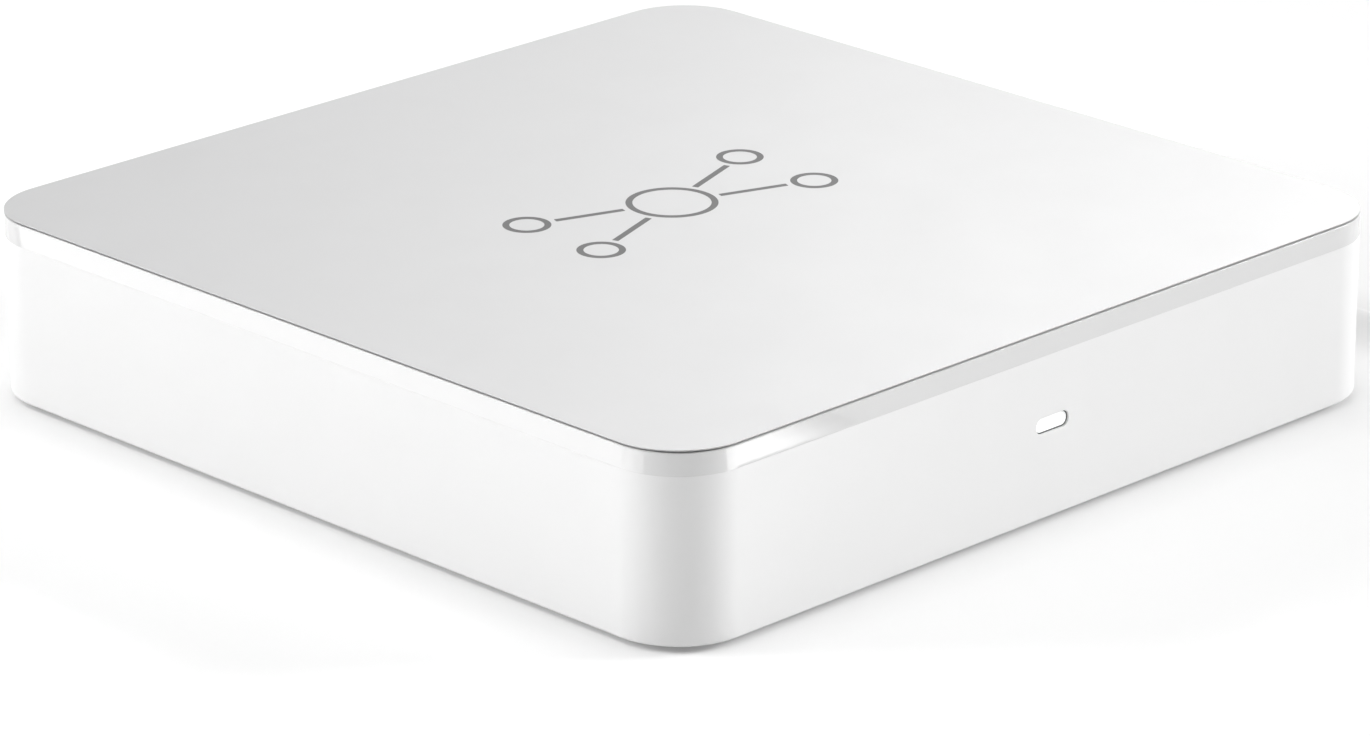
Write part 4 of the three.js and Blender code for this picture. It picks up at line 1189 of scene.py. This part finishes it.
def add_softbox(name, azimuth, elevation, distance, width, height, watts, target, only_gloss):
    """A rectangular light that faces target, and that the camera doesn't see."""
    data = bpy.data.lights.new(name, "AREA")
    data.shape = "RECTANGLE"
    data.size = width * MM
    data.size_y = height * MM
    data.energy = watts
    light = new_object(name, data)
    towards = direction(azimuth, elevation)
    light.location = (Vector(target) + towards * distance) * MM
    light.rotation_mode = "QUATERNION"
    light.rotation_quaternion = towards.to_track_quat("Z", "Y")
    light.visible_camera = False
    light.visible_diffuse = not only_gloss


def add_sheet(name, corners, kind, values):
    """A four-cornered sheet with one plain shader. Returns the sheet, the shader and the shader's tree."""
    sheet = new_object(name, Shape(corners, [(0, 1, 2, 3)]).mesh(name))
    material = bpy.data.materials.new(name)
    material.use_nodes = True
    tree = material.node_tree
    tree.nodes.remove(tree.nodes["Principled BSDF"])
    shader = add_node(tree.nodes, kind, values)
    tree.links.new(shader.outputs[0], tree.nodes["Material Output"].inputs["Surface"])
    sheet.data.materials.append(material)
    sheet.visible_camera = sheet.visible_diffuse = sheet.visible_transmission = False
    return sheet, shader, tree


def add_card(name, low, high, strength, fade):
    """A glowing card that only reflections see."""
    (x0, y0), (x1, y1), z = low, high, CARD_HEIGHT
    corners = [(x0, y0, z), (x1, y0, z), (x1, y1, z), (x0, y1, z)]
    card, glow, tree = add_sheet(name, corners, "Emission", {"Strength": strength})
    card.visible_shadow = False
    if fade:
        place = tree.nodes.new("ShaderNodeTexCoord")
        split = tree.nodes.new("ShaderNodeSeparateXYZ")
        values = {"From Min": (x1 - fade) * MM, "From Max": x1 * MM, "To Min": strength, "To Max": 0}
        falloff = add_node(tree.nodes, "MapRange", values)
        falloff.interpolation_type = "SMOOTHSTEP"
        tree.links.new(place.outputs["Object"], split.inputs["Vector"])
        tree.links.new(split.outputs["X"], falloff.inputs["Value"])
        tree.links.new(falloff.outputs["Result"], glow.inputs["Strength"])


def add_scrim():
    """A net that only shadows see."""
    x, (y0, y1), (z0, z1) = SCRIM.x, SCRIM.y, SCRIM.z
    corners = [(x, y0, z0), (x, y1, z0), (x, y1, z1), (x, y0, z1)]
    colour = (*grey(SCRIM.passes), 1)
    scrim = add_sheet("right_scrim", corners, "BsdfTransparent", {"Color": colour})[0]
    scrim.visible_glossy = False


def add_surround():
    """A plain grey world, which the camera sees as white."""
    world = bpy.data.worlds.new("surround")
    bpy.context.scene.world = world
    world.use_nodes = True
    nodes, links = world.node_tree.nodes, world.node_tree.links
    background = nodes["Background"]
    path = nodes.new("ShaderNodeLightPath")
    values = {"To Min": SURROUND.light, "To Max": SURROUND.seen}
    strengths = add_node(nodes, "MapRange", values)
    links.new(path.outputs["Is Camera Ray"], strengths.inputs["Value"])
    links.new(strengths.outputs["Result"], background.inputs["Strength"])
    background.inputs["Color"].default_value = (1, 1, 1, 1)


def add_camera():
    data = bpy.data.cameras.new("camera")
    data.sensor_width = 36
    data.lens = CAMERA.lens
    data.clip_start = 0.01
    data.clip_end = 20
    camera = new_object("camera", data)
    back = direction(CAMERA.azimuth, CAMERA.elevation)
    camera.location = (CAMERA_TARGET + back * CAMERA.distance) * MM
    camera.rotation_mode = "QUATERNION"
    roll = Matrix.Rotation(math.radians(CAMERA.roll), 3, back)
    camera.rotation_quaternion = (roll @ back.to_track_quat("Z", "Y").to_matrix()).to_quaternion()
    bpy.context.scene.camera = camera


add_floor()
add_surround()
for settings in SOFTBOXES:
    add_softbox(*settings)
for settings in CARDS:
    add_card(*settings)
add_scrim()
add_camera()
bpy.context.scene.view_settings.view_transform = "Standard"
